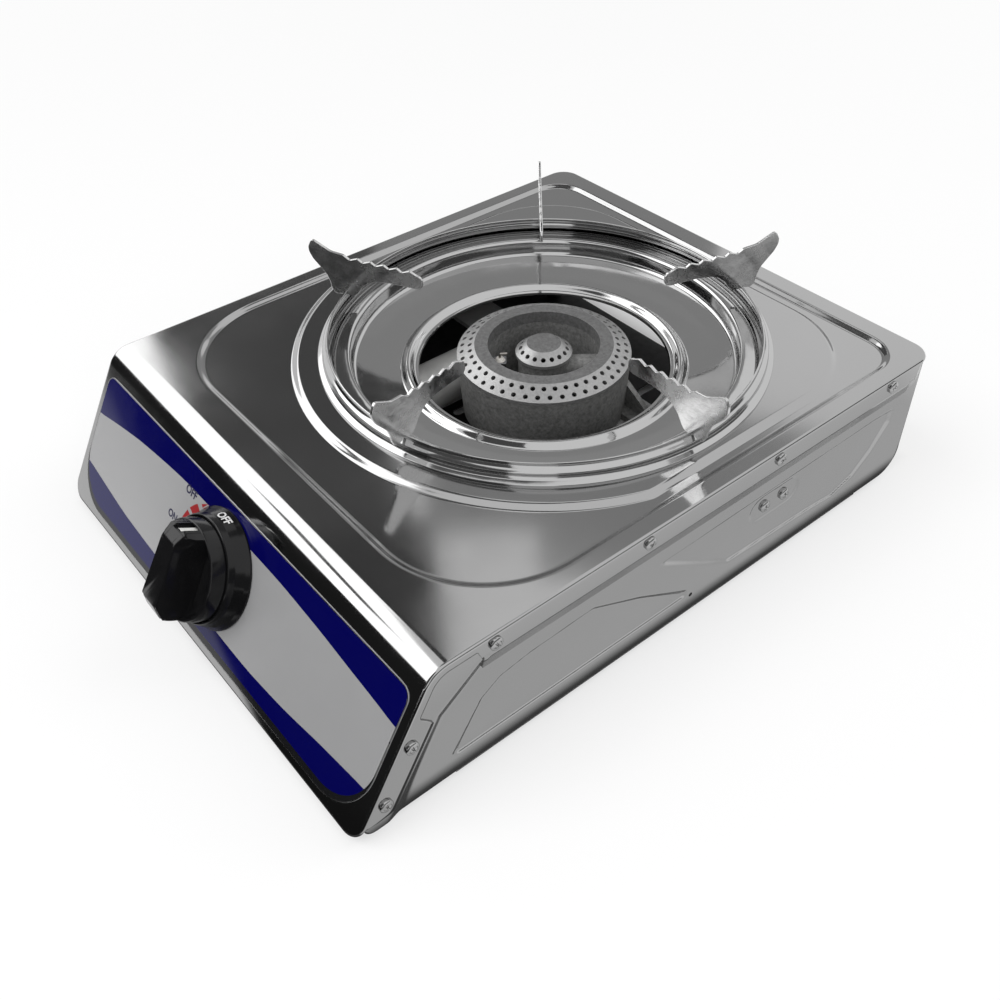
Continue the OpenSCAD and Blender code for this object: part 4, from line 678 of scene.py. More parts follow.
def build_trivet():
    """The ring is a spun section with two rolled beads. An arm is its outline, cut from plate, with rounded edges."""
    s = settings()
    path = filleted([[121.3, 0], [121.3, 0.9], [118.7, 1.8], [117.5, 3.4], [118.6, 5.2], [116.6, 6.6], [115.6, 7.7],
                     [115.6, 9.0]], [0, 0.5, 1.2, 1.4, 1.3, 1.0, 0.8, 0], 6)
    ring = Surface().grid(lathe(closed_section(path, 1.1), 320), wrap_u=True, wrap_v=True)
    piece = ring.object("trivet_ring_rolled", plated("plated_ring", s.plate_tone, 0.08), "trivet_body")
    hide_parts("trivet_ring")
    outline, radii = arm_outline()
    loop = filleted(np.vstack([outline, outline[:2]]), np.append(radii, radii[:2]), 4)[1:-1]
    metal = stamped("plated_arm", s.plate_tone * 1.3, 0.2)
    for number in range(1, 6):
        turn = math.radians(68.3 + (number - 1) * 72)
        way, side = np.array([math.cos(turn), math.sin(turn), 0]), np.array([-math.sin(turn), math.cos(turn), 0])
        plate = loop[:, :1] * way + loop[:, 1:] * UP
        near, far = plate - 0.8 * side, plate + 0.8 * side
        arm = Surface().grid(np.array([near, far]), wrap_v=True).ring_face(near).ring_face(far, flip=True)
        piece = arm.object(f"trivet_arm_stamped_{number}", metal, "trivet_body", merge=1e-6, crease=40)
        soften(piece, 0.55, 3, 50)
        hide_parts(f"trivet_arm_{number}")


def arm_outline():
    """An arm's outline in (distance from the axis, height), and its corners' radii: nose, five teeth, tip and tail,
    foot astride the rim, belly."""
    at = lambda shares: [[68.5 + a * 66.5, b * 38.5] for a, b in shares]
    nose = at([[0.06, 0.455], [0.02, 0.47], [0, 0.52], [0, 0.60], [0.02, 0.655], [0.05, 0.675]])
    pitch, rise = 7.6, 0.684
    teeth = []
    for i in range(5):
        for along, drop in ((i, 0), (i + 0.62, 2)):
            teeth.append([75.7 + along * pitch, 28.1 + along * rise - drop])
    tail = at([[0.69, 0.83], [0.80, 0.857], [0.88, 0.935], [0.935, 0.99], [0.955, 1], [0.975, 0.97], [1, 0.89],
               [1, 0.81], [0.97, 0.70], [0.92, 0.597], [0.865, 0.48], [0.842, 0.364], [0.835, 0.27]])
    foot = [[122.4, 7.5], [120.2, 6.8], [117.4, 7.4], [115.8, 8.4], [115.8, 9.0], [114.4, 9.0], [114.4, 7.0],
            [110.4, 6.7], [107.9, 9.0]]
    belly = at([[0.545, 0.35], [0.49, 0.425], [0.43, 0.465], [0.32, 0.485], [0.17, 0.475]])
    radii = [1.5] * 6 + [1.1, 1.3] * 5 + [4, 6, 5, 1.5, 1.0, 1.5, 3, 5, 6, 8, 8, 6, 5]
    radii += [2, 1, 1, 0, 0, 0, 0, 1.5, 3] + [6, 6, 6, 8, 8]
    return np.array(nose + teeth + tail + foot + belly), np.array(radii, float)


# ---------------------------------------------------------------- burner and ignition
def dress_burner():
    """The castings keep their solid shapes, with their drilled ports, under a sand-cast finish."""
    dress("burner_body", cast("rough_cast_body", (0.12, 0.12, 0.118), (0.27, 0.27, 0.265), 0.6, 0.00025))
    dress("burner_ring_cap", turned_cap("turned_ring_cap", 30.6, 37.7))
    dress("burner_centre_cap", turned_cap("turned_centre_cap", 0.0, 9.3))


def tube_along(path, radius, sides):
    """A round section carried along a path, square to it at each point."""
    way = np.gradient(path, axis=0)
    way /= np.linalg.norm(way, axis=1, keepdims=True)
    u = np.cross(way, [1.0, 0.02, 0.01])
    u /= np.linalg.norm(u, axis=1, keepdims=True)
    v = np.cross(way, u)
    turn = np.linspace(0, 2 * math.pi, sides, endpoint=False)[None, :, None]
    return path[:, None] + radius * (u[:, None] * np.cos(turn) + v[:, None] * np.sin(turn))


def smooth_path(points, steps):
    """A curve through all the points, by the cubic that passes through each with the slope of its neighbours."""
    points = np.asarray(points, float)
    p = np.vstack([2 * points[0] - points[1], points, 2 * points[-1] - points[-2]])
    t = np.linspace(0, 1, steps, endpoint=False)[:, None]
    parts = [0.5 * (2 * b + (c - a) * t + (2 * a - 5 * b + 4 * c - d) * t ** 2 + (3 * b - a - 3 * c + d) * t ** 3)
             for a, b, c, d in zip(p, p[1:], p[2:], p[3:])]
    return np.vstack(parts + [points[-1:]])


def build_ignition():
    """Electrode: a spun glazed rod, its square clamp and a bent wire. The lead keeps its solid shape."""
    turn = math.radians(232)
    way, side = np.array([math.cos(turn), math.sin(turn), 0]), np.array([-math.sin(turn), math.cos(turn), 0])
    stand = 24 * way
    low, high = -33.26, -12.26
    rod = np.array([[0.001, low], [2.2, low], [3.0, low + 0.8], [3.0, high - 1.6], [2.0, high - 0.2], [1.4, high],
                    [0.001, high]])
    glaze = plastic("glazed_ceramic", (0.62, 0.60, 0.56), 0.18, 0.00001, 0.5)
    piece = Surface().grid(lathe(rod, 40, stand), wrap_u=True).object("electrode_rod", glaze, "chassis")
    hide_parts("ignition_electrode")

    bends = ((0, -1), (0, 1.2), (0.6, 2.2), (2.2, 2.4), (4.0, 2.4))
    wire = tube_along(smooth_path([stand - back * way + (high + rise) * UP for back, rise in bends], 8), 0.78, 14)
    tip = Surface().grid(wire, wrap_v=True).ring_face(wire[0]).ring_face(wire[-1])
    steel = plain_metal("electrode_wire_steel", (0.45, 0.43, 0.40), 0.35)
    tip.object("electrode_wire", steel, "chassis")

    square = filleted([[-1, -1], [1, -1], [1, 1], [-1, 1], [-1, -1], [1, -1]], 0.25, 4)[1:-1]
    rows = np.array([[stand + 3.6 * (a * way + b * side) + height * UP for a, b in square]
                     for height in (-18.24, -13.76)])
    block = Surface().grid(rows, wrap_v=True).ring_face(rows[0]).ring_face(rows[1])
    clamp = block.object("electrode_clamp", plain_metal("clamp_steel", (0.30, 0.30, 0.31), 0.42), "chassis")
    soften(clamp, 0.3)
    dress("spark_lead", plastic("lead_sleeve", (0.30, 0.02, 0.015), 0.45))


# ---------------------------------------------------------------- label
LABEL_HALF, LABEL_TOP, LABEL_LOW = 140.0, KNOB_DROP - 12.6, KNOB_DROP - 84.6
LABEL_TOP_R, LABEL_LOW_R = 6.0, 28.0
LABEL_BORDER = 3.2
LABEL_HOLE_R = 25.6
PRINT_HOLE_R = 25.9


def label_outline(inset=0.0, lift=0.0):
    """The label's outline on the face: small upper corners and wide lower ones, its lower edge lifted by lift."""
    return rounded_box(LABEL_HALF - inset, LABEL_LOW + inset + lift, LABEL_TOP - inset,
                       LABEL_LOW_R - inset, LABEL_TOP_R - inset, 24, 10)


def band_edges(x):
    """Heights above x of the two bands' inner edges: a few points of each, as distances down the face, joined and
    then smoothed by a bell-shaped average of 41 neighbours."""
    upper = np.interp(x, [-143, -123, -95, -69, -46, 18, 46, 80, 108, 124, 141],
                      [31.3, 27.4, 23.1, 20.6, 18.9, 18.2, 18.4, 20.2, 22.5, 23.6, 25.4])
    lower = np.interp(x, [-140, -116, -88, -54, 23, 46, 76, 105, 138],
                      [58.3, 61.1, 64.3, 65.8, 67.2, 67.3, 65.4, 61.8, 58.6])
    bell = np.hanning(41) / np.hanning(41).sum()
    return [KNOB_DROP - 5.56 - np.convolve(np.pad(v, 20, mode="edge"), bell, "valid") for v in (upper, lower)]


def label_span(x, inset):
    """Lowest and highest point above each x of the label's field inside its border."""
    corner = lambda r: r - chord(r, np.maximum(np.abs(x) - (LABEL_HALF - inset - r), 0))
    return (LABEL_LOW + inset + LABEL_BORDER + corner(LABEL_LOW_R - inset),
            LABEL_TOP - inset - corner(LABEL_TOP_R - inset))


def printed_band(name, low, high, x, material):
    """Print between two heights above each x, a hair proud of the label."""
    y = low + np.linspace(0, 1, 14)[:, None] * (high - low)
    skin = Surface().grid(at_knob(np.broadcast_to(x, y.shape), y, np.full(y.shape, 0.43)))
    return skin.object(name, material, "chassis", up=tuple(OUT))


def build_label():
    """Label: its rounded plate, two printed bands whose inner edges curve, a bare line and a black border round its
    edge, red marks in an arc by the knob, and the switch's words as flat meshes."""
    s = settings()
    face = Finish("label_face", tuple(s.label_colour), 0.3, 0.34, Coat_Weight=0.1, Coat_Roughness=0.12)
    face.link(face.ranged(face.noise(60, 3), 0.26, 0.42, 0.1, 0.9), "Roughness")
    face.bump(face.noise(25, 2), 0.00004)
    turn = np.linspace(-math.pi, math.pi, 720, endpoint=False)
    ring = lambda reach, height: at_knob(reach * np.cos(turn), reach * np.sin(turn), height)
    reach, hole = reach_at(label_outline(), turn), LABEL_HOLE_R + 0 * turn
    rows = [ring(hole, 0.02), ring(hole, 0.4), ring(reach - 0.25, 0.4), ring(reach, 0.2), ring(reach, 0.02)]
    plate = Surface().grid(np.array(rows), wrap_u=True, wrap_v=True)
    piece = plate.object("label_plate_face", face.material, "chassis", crease=30)
    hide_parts("label_plate")

    blue = ink("band_ink", s.band_colour, 0.1, 0.07, 0.12)
    x = np.linspace(-139.4, 139.4, 360)
    upper, lower = band_edges(x)
    low, high = label_span(x, 0.6)
    over_hole, hole_edge = np.abs(x) < PRINT_HOLE_R, chord(PRINT_HOLE_R, x)
    upper = np.minimum(np.where(over_hole, np.maximum(upper, hole_edge), upper), high)
    lower = np.maximum(np.where(over_hole, np.minimum(lower, -hole_edge), lower), low)
    prints = [printed_band("label_band_upper", upper, high, x, blue),
              printed_band("label_band_lower", low, lower, x, blue)]

    bare = Finish("label_rim", (0.5, 0.5, 0.5), 1.0, 0.2)
    bare.link(bare.ranged(bare.noise(80, 3), 0.24, 0.4), "Roughness")
    black = plastic("border_black", (0.008, 0.008, 0.009), 0.15)
    outer, middle, inner = (reach_at(label_outline(*k), turn) for k in ((0.1,), (0.6,), (0.65, LABEL_BORDER)))
    for name, far, near, material in (("label_edge_line", outer, middle, bare.material),
                                      ("label_border_black", middle, np.minimum(inner, middle), black)):
        border = Surface().grid(np.array([ring(far, 0.42), ring(near, 0.42)]), wrap_v=True)
        prints.append(border.object(name, material, "chassis", up=tuple(OUT)))

    marks = Surface()
    for start, end in ((178, 163), (159.5, 148.5), (143, 132)):
        a = np.linspace(start, end, 16)
        outer = np.interp(a, [131, 141, 151, 159, 164, 172, 178], [30.6, 32.5, 35.2, 36.8, 37.6, 38.6, 39.2])
        reach = np.array([np.minimum(31.0, outer - 0.1), outer])
        marks.grid(at_knob(reach * np.cos(np.radians(a)), reach * np.sin(np.radians(a)), np.full(reach.shape, 0.44)))
    red = ink("dial_ink", s.dial_colour, 0.3, 0.25, 0.38)
    prints.append(marks.object("dial_marks", red, "chassis", up=tuple(OUT)))

    dark = plastic("word_ink", (0.012, 0.012, 0.05), 0.4)
    pale = plastic("pale_word_ink", (0.62, 0.62, 0.62), 0.4)
    prints += [flat_word("word_off", "OFF", 6.0, (-37.0, 20.2), 0.0, 0.45, dark),
               flat_word("word_on", "ON", 5.5, (-46.3, 1.3), 0.0, 0.45, dark)]
    bezel_word = flat_word("bezel_off", "OFF", 5.4, (0.0, 28.3), math.radians(-66.8), 5.3, pale, 28.3)


def flat_word(name, text, height, at, tilt, lift, material, round_r=1e6):
    """A word as a flat mesh, centred at a point of the face, turned about its middle by the tilt, and wrapped
    round the knob's axis at a radius."""
    curve = bpy.data.curves.new(name, "FONT")
    curve.body, curve.size, curve.align_x, curve.align_y = text, height, "CENTER", "CENTER"
    curve.resolution_u = 6
    curve.offset = height * 0.03
    maker = bpy.data.objects.new(name + "_maker", curve)
    bpy.context.scene.collection.objects.link(maker)
    bpy.context.view_layer.update()
    mesh = bpy.data.meshes.new_from_object(maker)
    bpy.data.objects.remove(maker)
    co = np.empty(len(mesh.vertices) * 3)
    mesh.vertices.foreach_get("co", co)
    co = co.reshape(-1, 3)
    r = round_r + co[:, 1] * math.cos(tilt)
    a = co[:, 0] / round_r
    placed = in_row(at_knob(at[0] + r * np.sin(a), at[1] - round_r + r * np.cos(a), lift + co[:, 1] * math.sin(tilt)))
    mesh.vertices.foreach_set("co", placed.ravel())
    mesh.materials.clear()
    mesh.materials.append(material)
    mesh.update()
    piece = bpy.data.objects.new(name, mesh)
    bpy.context.scene.collection.objects.link(piece)
    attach(piece, "chassis")
    return piece


# ---------------------------------------------------------------- knob
GRIP_R = 24.0
GRIP_SIDE = np.array([[9.0, -24.0, 24.0], [24.2, -24.0, 24.0], [26.35, -22.6, 24.0], [26.66, -22.1, 23.7],
                      [27.9, -20.5, 22.5], [30.2, -17.3, 18.3], [30.6, -16.9, 17.6], [31.0, -16.5, 16.8]])


def grip_outline(h):
    """The grip's outline at a height: flanks that widen towards the tail and flare out at the drum's rim and at
    the pointer's end, both ends cut by the drum's round, corners rounded, and a groove down the pointer's end."""
    tail, tip = np.interp(h, GRIP_SIDE[:, 0], GRIP_SIDE[:, 1]), np.interp(h, GRIP_SIDE[:, 0], GRIP_SIDE[:, 2])
    lift = np.interp(h, [9, 31], [0, 1])
    flare = 2.6 * np.clip((22 - h) / 13, 0, 1) ** 2

    def half_width(y):
        base = np.interp(y, [-24, 24], [9.0 - 1.5 * lift, 7.2 - 1.65 * lift])
        fan = (3.0 * smooth_step((y - 12) / 12) + 1.2 * smooth_step((-y - 15) / 10)) * np.clip((30.5 - h) / 8, 0, 1)
        return base + flare + fan

    side = np.interp(np.linspace(-1, 1, 40), [-1, 1], [tail + 0.6, tip - 0.6])
    side_x = np.minimum(half_width(side), chord(GRIP_R, side) - 0.1)

    def end(limit, sign):
        w = side_x[-1] if sign > 0 else np.interp(-limit, side, side_x)
        x = np.concatenate([w * np.array([1, 0.97, 0.92, 0.85, 0.75, 0.66, 0.56]), [3.75, 3.55, 3.35, 3.15, 2.0, 0.7]])
        x = np.concatenate([x, -x[::-1]])
        y = np.minimum(abs(limit), chord(GRIP_R, x)) - 0.6 * np.clip((np.abs(x) / w - 0.9) / 0.1, 0, 1) ** 2
        if sign > 0 and h > 12.4:
            y = np.where(np.abs(x) < 3.45, np.minimum(y, 22.15), y)
        return np.stack([x, sign * y], -1)

    return np.vstack([np.stack([side_x, side], -1), end(tip, 1), np.stack([-side_x, side], -1)[::-1],
                      end(tail, -1)[::-1]])


def build_knob():
    """Bezel and drum are spun sections about the knob's axis with rolled edges, the drum dished inside a thin rim.
    The grip is a stack of its outlines from the dish to its top."""
    s = settings()
    black = plastic("knob_gloss_black", tuple(s.knob_colour), 0.14, 0.000006, 0.0, 0.3)
    spin = lambda section: at_knob(*np.moveaxis(lathe(section, 192), -1, 0))
    bezel = filleted([[25.3, 0.42], [30.0, 0.42], [30.0, 1.4], [28.9, 3.4], [27.1, 7.6], [26.4, 10.6], [25.9, 11.0],
                      [25.3, 11.0], [25.3, 0.42], [30.0, 0.42]], [0, 0.3, 0.6, 1.5, 2, 0.5, 0.3, 0.2, 0.1, 0], 6)[1:-1]
    piece = Surface().grid(spin(bezel), wrap_u=True, wrap_v=True).object("knob_bezel_spun", black, "chassis")
    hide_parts("knob_bezel")
    drum = filleted([[0.001, 7.4], [21.0, 7.4], [21.0, 5.6], [24.8, 5.6], [24.95, 11.5], [24.5, 18.0], [24.0, 18.5],
                     [23.2, 18.5], [22.6, 17.9], [21.9, 16.4], [20.6, 15.1], [18.4, 14.1], [15.0, 13.6], [0.001, 13.4]],
                    [0, 0.5, 0.4, 0.5, 6, 0.5, 0.3, 0.3, 0.6, 2, 3, 4, 5, 0], 5)
    knob = Surface().grid(spin(drum), wrap_u=True)
    heights = [10.0, 12.3, 12.5, 13.4, 14.2, 15.4, 17, 18.5, 20, 21.6, 23, 24.2, 25.2, 26.0, 26.6, 27.3, 28, 28.7,
               29.4, 30.0, 30.4, 30.7, 30.85, 30.95]
    rows = []
    for h in heights:
        outline = grip_outline(h)
        pull = 1 - 0.035 * max(0.0, (h - 30.3) / 0.65) ** 2
        rows.append(at_knob(outline[:, 0] * pull, outline[:, 1] * pull, h))
    knob.grid(np.array(rows), wrap_v=True).ring_face(rows[-1]).ring_face(rows[0])
    piece = knob.object("knob_moulded", black, "knob_body", merge=1e-6, crease=38)
    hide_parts("knob")
    u, v = np.meshgrid(np.linspace(-1, 1, 9), np.linspace(0, 1, 14), indexing="ij")
    bar = Surface().grid(at_knob(1.45 * u, 22.25 + 0.22 * chord(1, u), 13.2 + 13.4 * v))
    mark = bar.object("knob_pointer_bar", plastic("pointer_ink", (0.72, 0.72, 0.70), 0.4), "knob_body",
                      up=tuple(-DOWN), crease=60)


# ---------------------------------------------------------------- screws
def screw_head(centre, way, turn):
    """A domed head on a polar grid: height falls off as an ellipse from the middle, and a cross is pressed in where
    either of two narrow bands crosses it. Below the rim it drops to its seat."""
    way = np.asarray(way, float)
    u = np.cross(way, [0.3, 0.2, 0.93])
    u /= np.linalg.norm(u)
    v = np.cross(way, u)
    r = np.array([0.0, 0.35, 0.7, 1.05, 1.4, 1.75, 2.1, 2.5, 2.9, 3.15, 3.3, 3.3])[:, None]
    a = np.linspace(0, 2 * math.pi, 40, endpoint=False)[None, :]
    x, y = r * np.cos(a + turn), r * np.sin(a + turn)
    dome = 0.55 + 1.45 * chord(1, r / 3.42) + 0 * a
    arm = np.minimum(np.abs(r * np.cos(a)), np.abs(r * np.sin(a)))
    cross = smooth_step((0.62 - arm) / 0.35) * smooth_step((2.15 - r) / 0.5)
    h = dome - 0.95 * cross
    h[-1] = 0.03
    return np.asarray(centre) + x[..., None] * u + y[..., None] * v + h[..., None] * way


def build_screws():
    """Pan-head screws with a pressed cross, at the places of the solids' screws."""
    metal = plated("plated_screw", 0.42, 0.12)
    flange = [(FLANGE_BACK - 21.5 - i * 86.9, -FLANGE_H / 2) for i in range(4)]
    flange += [tuple((FACE_TOP + share * FACE_LEN * DOWN - FRONT_FLANGE_W / 2 * OUT)[1:]) for share in (0.42, 0.76)]
    sides, under = (-1, 1), (0, 0, -1)
    groups = {
        "flange_screws": [((side * HALF_W, y, z), (side, 0, 0)) for side in sides for y, z in flange],
        "bridge_screws": [((side * 140.8, 30 + k * 7.2, -38.5), (side, 0, 0)) for side in sides for k in (-1, 1)],
        "base_screws": [((side * 136.2, k * DECK_FRONT, -PANEL_H), under) for side in sides for k in (-0.8, -0.1, 0.6)],
        "rear_screws": [((side * 136.2, 140.1, -PANEL_H * k), (0, 1, 0)) for side in sides for k in (0.38, 0.72)],
        "burner_screws": [((side * 52.5, 30, -44.7), under) for side in sides],
        "valve_screws": [(tuple(KNOB_AT + [side * 18.0, 0, 0]), tuple(OUT)) for side in sides]}
    order = np.random.default_rng(7)
    for name, places in groups.items():
        heads = Surface()
        for centre, way in places:
            heads.grid(screw_head(centre, way, order.uniform(0, math.pi / 2)), wrap_v=True)
        piece = heads.object(name.replace("screws", "screw_heads"), metal, "chassis", merge=1e-7, crease=60)
        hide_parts(name)


# ---------------------------------------------------------------- inner pieces, base and feet
def dress_gas_train():
    """Valve, pipes, nozzle, tube and shutter keep their solid shapes."""
    brass = plain_metal("turned_brass", (0.55, 0.38, 0.13), 0.28)
    pipe = plain_metal("drawn_pipe_steel", (0.42, 0.42, 0.43), 0.3)
    dress("mixing_tube", plain_metal("satin_tube_alloy", (0.62, 0.62, 0.61), 0.5, 250, 0.00004, 0.35))
    dress("air_shutter", pipe)
    dress("gas_valve", plain_metal("cast_valve_alloy", (0.36, 0.36, 0.35), 0.45, 350, 0.00008))
    for node in ("injector_nozzle", "push_collar", "valve_stem", "hose_nozzle"):
        dress(node, brass)
    for node in ("injector_pipe", "gas_inlet_pipe"):
        dress(node, pipe)
    dress("valve_bracket", bright_sheet("bracket_sheet", 0.4, 0.3))
    dress("spark_unit", plastic("spark_unit_case", (0.03, 0.03, 0.033), 0.45))


def dress_base():
    """Rear panel, bridge, bottom plate and feet keep their solid shapes."""
    dress("rear_panel", bright_sheet("rolled_inner_sheet", 0.45, 0.24))
    dress("burner_bridge", plain_metal("dull_bridge_sheet", (0.5, 0.5, 0.5), 0.4, 200, 0.00002, 0.4))
    paint = Finish("dark_base_coat", (0.02, 0.02, 0.021), 0.2, 0.45)
    paint.link(paint.ranged(paint.noise(200, 4), 0.35, 0.6), "Roughness")
    paint.bump(paint.noise(700, 3), 0.00006)
    dress("bottom_plate", paint.material)
    rubber = plastic("black_foot_rubber", (0.012, 0.012, 0.012), 0.7, 0.00005)
    for corner in ("front_left", "front_right", "back_left", "back_right"):
        dress("foot_" + corner, rubber)


# ---------------------------------------------------------------- studio
CAMERA_AT = (365.8, -319.0, 325.8)
CAMERA_AXES = ((0.6317, 0.7749, -0.0232), (-0.5127, 0.4401, 0.7372), (0.5815, -0.4538, 0.6752))
LENS = 38.55
# Lamps: name, place and size in metres, power in watts
LAMPS = (("key_lamp", (-0.5, -1.3, 1.9), 1.5, 26), ("fill_lamp", (1.7, -0.6, 1.5), 1.4, 13),
         ("back_lamp", (0.6, 1.7, 1.8), 1.4, 16))
ROOM_LIGHT = 0.55
FLOOR_HALF = 6.0
# Cards: name, side angles from +x, angles above the floor, distance in metres, and light in a reflection
CARDS = (("black_card_front", (203, 268), (-3.0, 18.5), 1.5, 0.02),
         ("soft_box_left", (184, 246), (19, 58), 1.6, 2.7),
         ("dark_line_front", (207, 227), (38.5, 44), 1.55, 0.06),
         ("dark_card_high", (149, 169), (45.4, 64), 1.8, 0.075),
         ("dark_card_left", (151, 168.8), (26, 45.4), 1.82, 0.11),
         ("soft_strip_left", (169.0, 184), (20, 57), 1.7, 2.4),
         ("grey_card_back", (125, 158), (11, 30), 1.9, 0.40),
         ("grey_card_middle", (125, 149), (30, 46.5), 1.86, 0.36),
         ("grey_card_right", (112, 138), (37.5, 50), 1.85, 0.38),
         ("dark_card_top", (95, 215), (65, 88), 1.75, 0.12),
         ("dark_card_right", (-34, 64), (1, 25), 2.0, 0.12),
         ("dark_card_near", (252, 304), (3, 58), 1.58, 0.1))


def build_studio():
    """A pale floor, a camera, large soft lamps, and cards that only the metal sees: the dark ones stand in front at
    the left and hang behind, where such a studio has its unlit side."""
    scene = bpy.context.scene
    camera = bpy.data.objects.new("camera", bpy.data.cameras.new("camera"))
    camera.data.lens, camera.data.sensor_width, camera.data.sensor_fit = LENS, 36.0, "HORIZONTAL"
    camera.data.clip_start, camera.data.clip_end = 0.01, 50
    x, y, z = (Vector(v).normalized() for v in CAMERA_AXES)
    where = Vector(in_row(CAMERA_AT))
    camera.matrix_world = Matrix([[x[i], y[i], z[i], where[i]] for i in range(3)] + [[0, 0, 0, 1]])
    scene.collection.objects.link(camera)
    scene.camera = camera
    scene.view_settings.view_transform = "Standard"
    scene.world = scene.world or bpy.data.worlds.new("studio")
    light_world(scene.world)

    edge, level = FLOOR_HALF, -0.0002
    floor_mesh = bpy.data.meshes.new("floor")
    floor_mesh.from_pydata([(-edge, -edge, level), (edge, -edge, level), (edge, edge, level), (-edge, edge, level)],
                           [], [(0, 1, 2, 3)])
    floor_mesh.materials.append(floor_finish())
    floor = bpy.data.objects.new("floor", floor_mesh)
    scene.collection.objects.link(floor)
    for values in LAMPS:
        lamp(*values)
    for name, sides, levels, distance, light in CARDS:
        card(name, sky_patch(sides, levels, distance), light)


def light_world(world):
    """White to the camera, in reflections and through clear matter, and a dimmer even light on everything else."""
    world.use_nodes = True
    tree = world.node_tree
    tree.nodes.clear()
    path = tree.nodes.new("ShaderNodeLightPath")
    seen = path.outputs["Is Camera Ray"]
    for ray in ("Is Glossy Ray", "Is Transmission Ray"):
        either = tree.nodes.new("ShaderNodeMath")
        either.operation = "MAXIMUM"
        tree.links.new(seen, either.inputs[0])
        tree.links.new(path.outputs[ray], either.inputs[1])
        seen = either.outputs[0]
    mix, out = tree.nodes.new("ShaderNodeMixShader"), tree.nodes.new("ShaderNodeOutputWorld")
    tree.links.new(seen, mix.inputs["Fac"])
    for socket, strength in ((mix.inputs[1], ROOM_LIGHT), (mix.inputs[2], 1.0)):
        sky = tree.nodes.new("ShaderNodeBackground")
        sky.inputs["Color"].default_value, sky.inputs["Strength"].default_value = (1, 1, 1, 1), strength
        tree.links.new(sky.outputs[0], socket)
    tree.links.new(mix.outputs[0], out.inputs["Surface"])


def floor_finish():
    """Pale floor: matt, and lifted towards white for the camera, so its shadow stays. In a reflection it shows a
    painted reflection instead of itself: a painted shadow, dark at the stove's foot, then grey beside it and pale
    further out, and black in front of a slanting line. The distances are in metres from the stove's outline, or from
    the row's origin for x and y."""
    made = Finish("pale_floor", (0.86, 0.86, 0.86), 0.0, 0.9, Specular_IOR_Level=0.0)
    tree = made.tree
    path = made.node("LightPath")
    camera, glossy = path.outputs["Is Camera Ray"], path.outputs["Is Glossy Ray"]
    x, y = made.node("SeparateXYZ", Vector=made.place).outputs[:2]
    aside, along = made.maths("ABSOLUTE", x), made.maths("ABSOLUTE", y)
    out = made.maths("MAXIMUM", made.maths("SUBTRACT", aside, 0.147), made.maths("SUBTRACT", along, 0.2))

    # Painted reflection: a painted shadow dark at the stove's foot, rising to grey beside it and pale further out
    beside = made.times(made.ranged(out, 0.08, 0.66, -0.0005, 0.0035), made.ranged(out, 1, 1.45, 0.036, 0.09))
    behind_front = made.ranged(y, 0.02, 1, -0.204, -0.197)
    slant = made.maths("SUBTRACT", y, made.times(x, 0.47))
    left_front = made.times(made.ranged(slant, 0, 0.85, -0.236, -0.229), made.ranged(y, 1, 0, -0.205, -0.199))
    mirrored = made.maths("MAXIMUM", made.times(beside, behind_front), left_front)

    under = made.maths("MAXIMUM", made.ranged(aside, 0, 1, 0.118, 0.142), made.ranged(along, 0, 1, 0.160, 0.196))
    shown = made.times(made.times(camera, under), made.ranged(out, 0.62, 1.0, 0.35, 1.6))
    strength = made.maths("ADD", made.maths("SUBTRACT", 1.0, glossy), made.times(mirrored, glossy))
    light = made.node("Emission", Strength=strength)
    mix = made.node("MixShader", Fac=made.maths("MAXIMUM", shown, glossy))
    tree.links.new(made.shader.outputs[0], mix.inputs[1])
    tree.links.new(light.outputs[0], mix.inputs[2])
    tree.links.new(mix.outputs[0], tree.nodes["Material Output"].inputs["Surface"])
    return made.material


def lamp(name, place, size, power):
    """A square soft lamp that looks at the stove."""
    data = bpy.data.lights.new(name, "AREA")
    data.size, data.energy = size, power
    item = bpy.data.objects.new(name, data)
    item.location = place
    item.rotation_euler = (Vector((0, 0, 0.05)) - Vector(place)).to_track_quat("-Z", "Y").to_euler()
    item.visible_glossy = False
    bpy.context.scene.collection.objects.link(item)


def sky_patch(sides, levels, distance):
    """Points of a sphere round the stove between two side angles and two heights."""
    a, e = np.meshgrid(np.radians(np.linspace(*sides, 12)), np.radians(np.linspace(*levels, 8)), indexing="ij")
    return distance * np.stack([np.cos(e) * np.cos(a), np.cos(e) * np.sin(a), np.sin(e)], -1) + [0, 0, 0.085]


def card(name, points, light):
    """A studio card that shows only in reflections; no lamp lights it, it glows evenly with its own painted light."""
    patch = Surface().grid(points)
    mesh = bpy.data.meshes.new(name)
    mesh.from_pydata(np.concatenate(patch.points).tolist(), [], patch.faces)
    painted_glow = Finish(name + "_cloth", (1, 1, 1))
    glow = painted_glow.node("Emission", Strength=light)
    painted_glow.tree.links.new(glow.outputs[0], painted_glow.tree.nodes["Material Output"].inputs["Surface"])
    mesh.materials.append(painted_glow.material)
    item = bpy.data.objects.new(name, mesh)
    item.visible_camera = item.visible_shadow = item.visible_diffuse = False
    bpy.context.scene.collection.objects.link(item)


# ---------------------------------------------------------------- operators and panel
class STOVE_OT_shell(bpy.types.Operator):
    """Press and fold the top shell"""
    bl_idname = "stove.shell"
    bl_label = "Top shell"
    bl_options = {"REGISTER", "UNDO"}

    def execute(self, context):
        build_shell()
        return {"FINISHED"}


class STOVE_OT_side_panels(bpy.types.Operator):
    """Press the two side panels"""
    bl_idname = "stove.side_panels"
    bl_label = "Side panels"
    bl_options = {"REGISTER", "UNDO"}

    def execute(self, context):
        build_side_panels()
        return {"FINISHED"}


class STOVE_OT_drip_pan(bpy.types.Operator):
    """Spin the drip pan"""
    bl_idname = "stove.drip_pan"
    bl_label = "Drip pan"
    bl_options = {"REGISTER", "UNDO"}

    def execute(self, context):
        build_drip_pan()
        return {"FINISHED"}


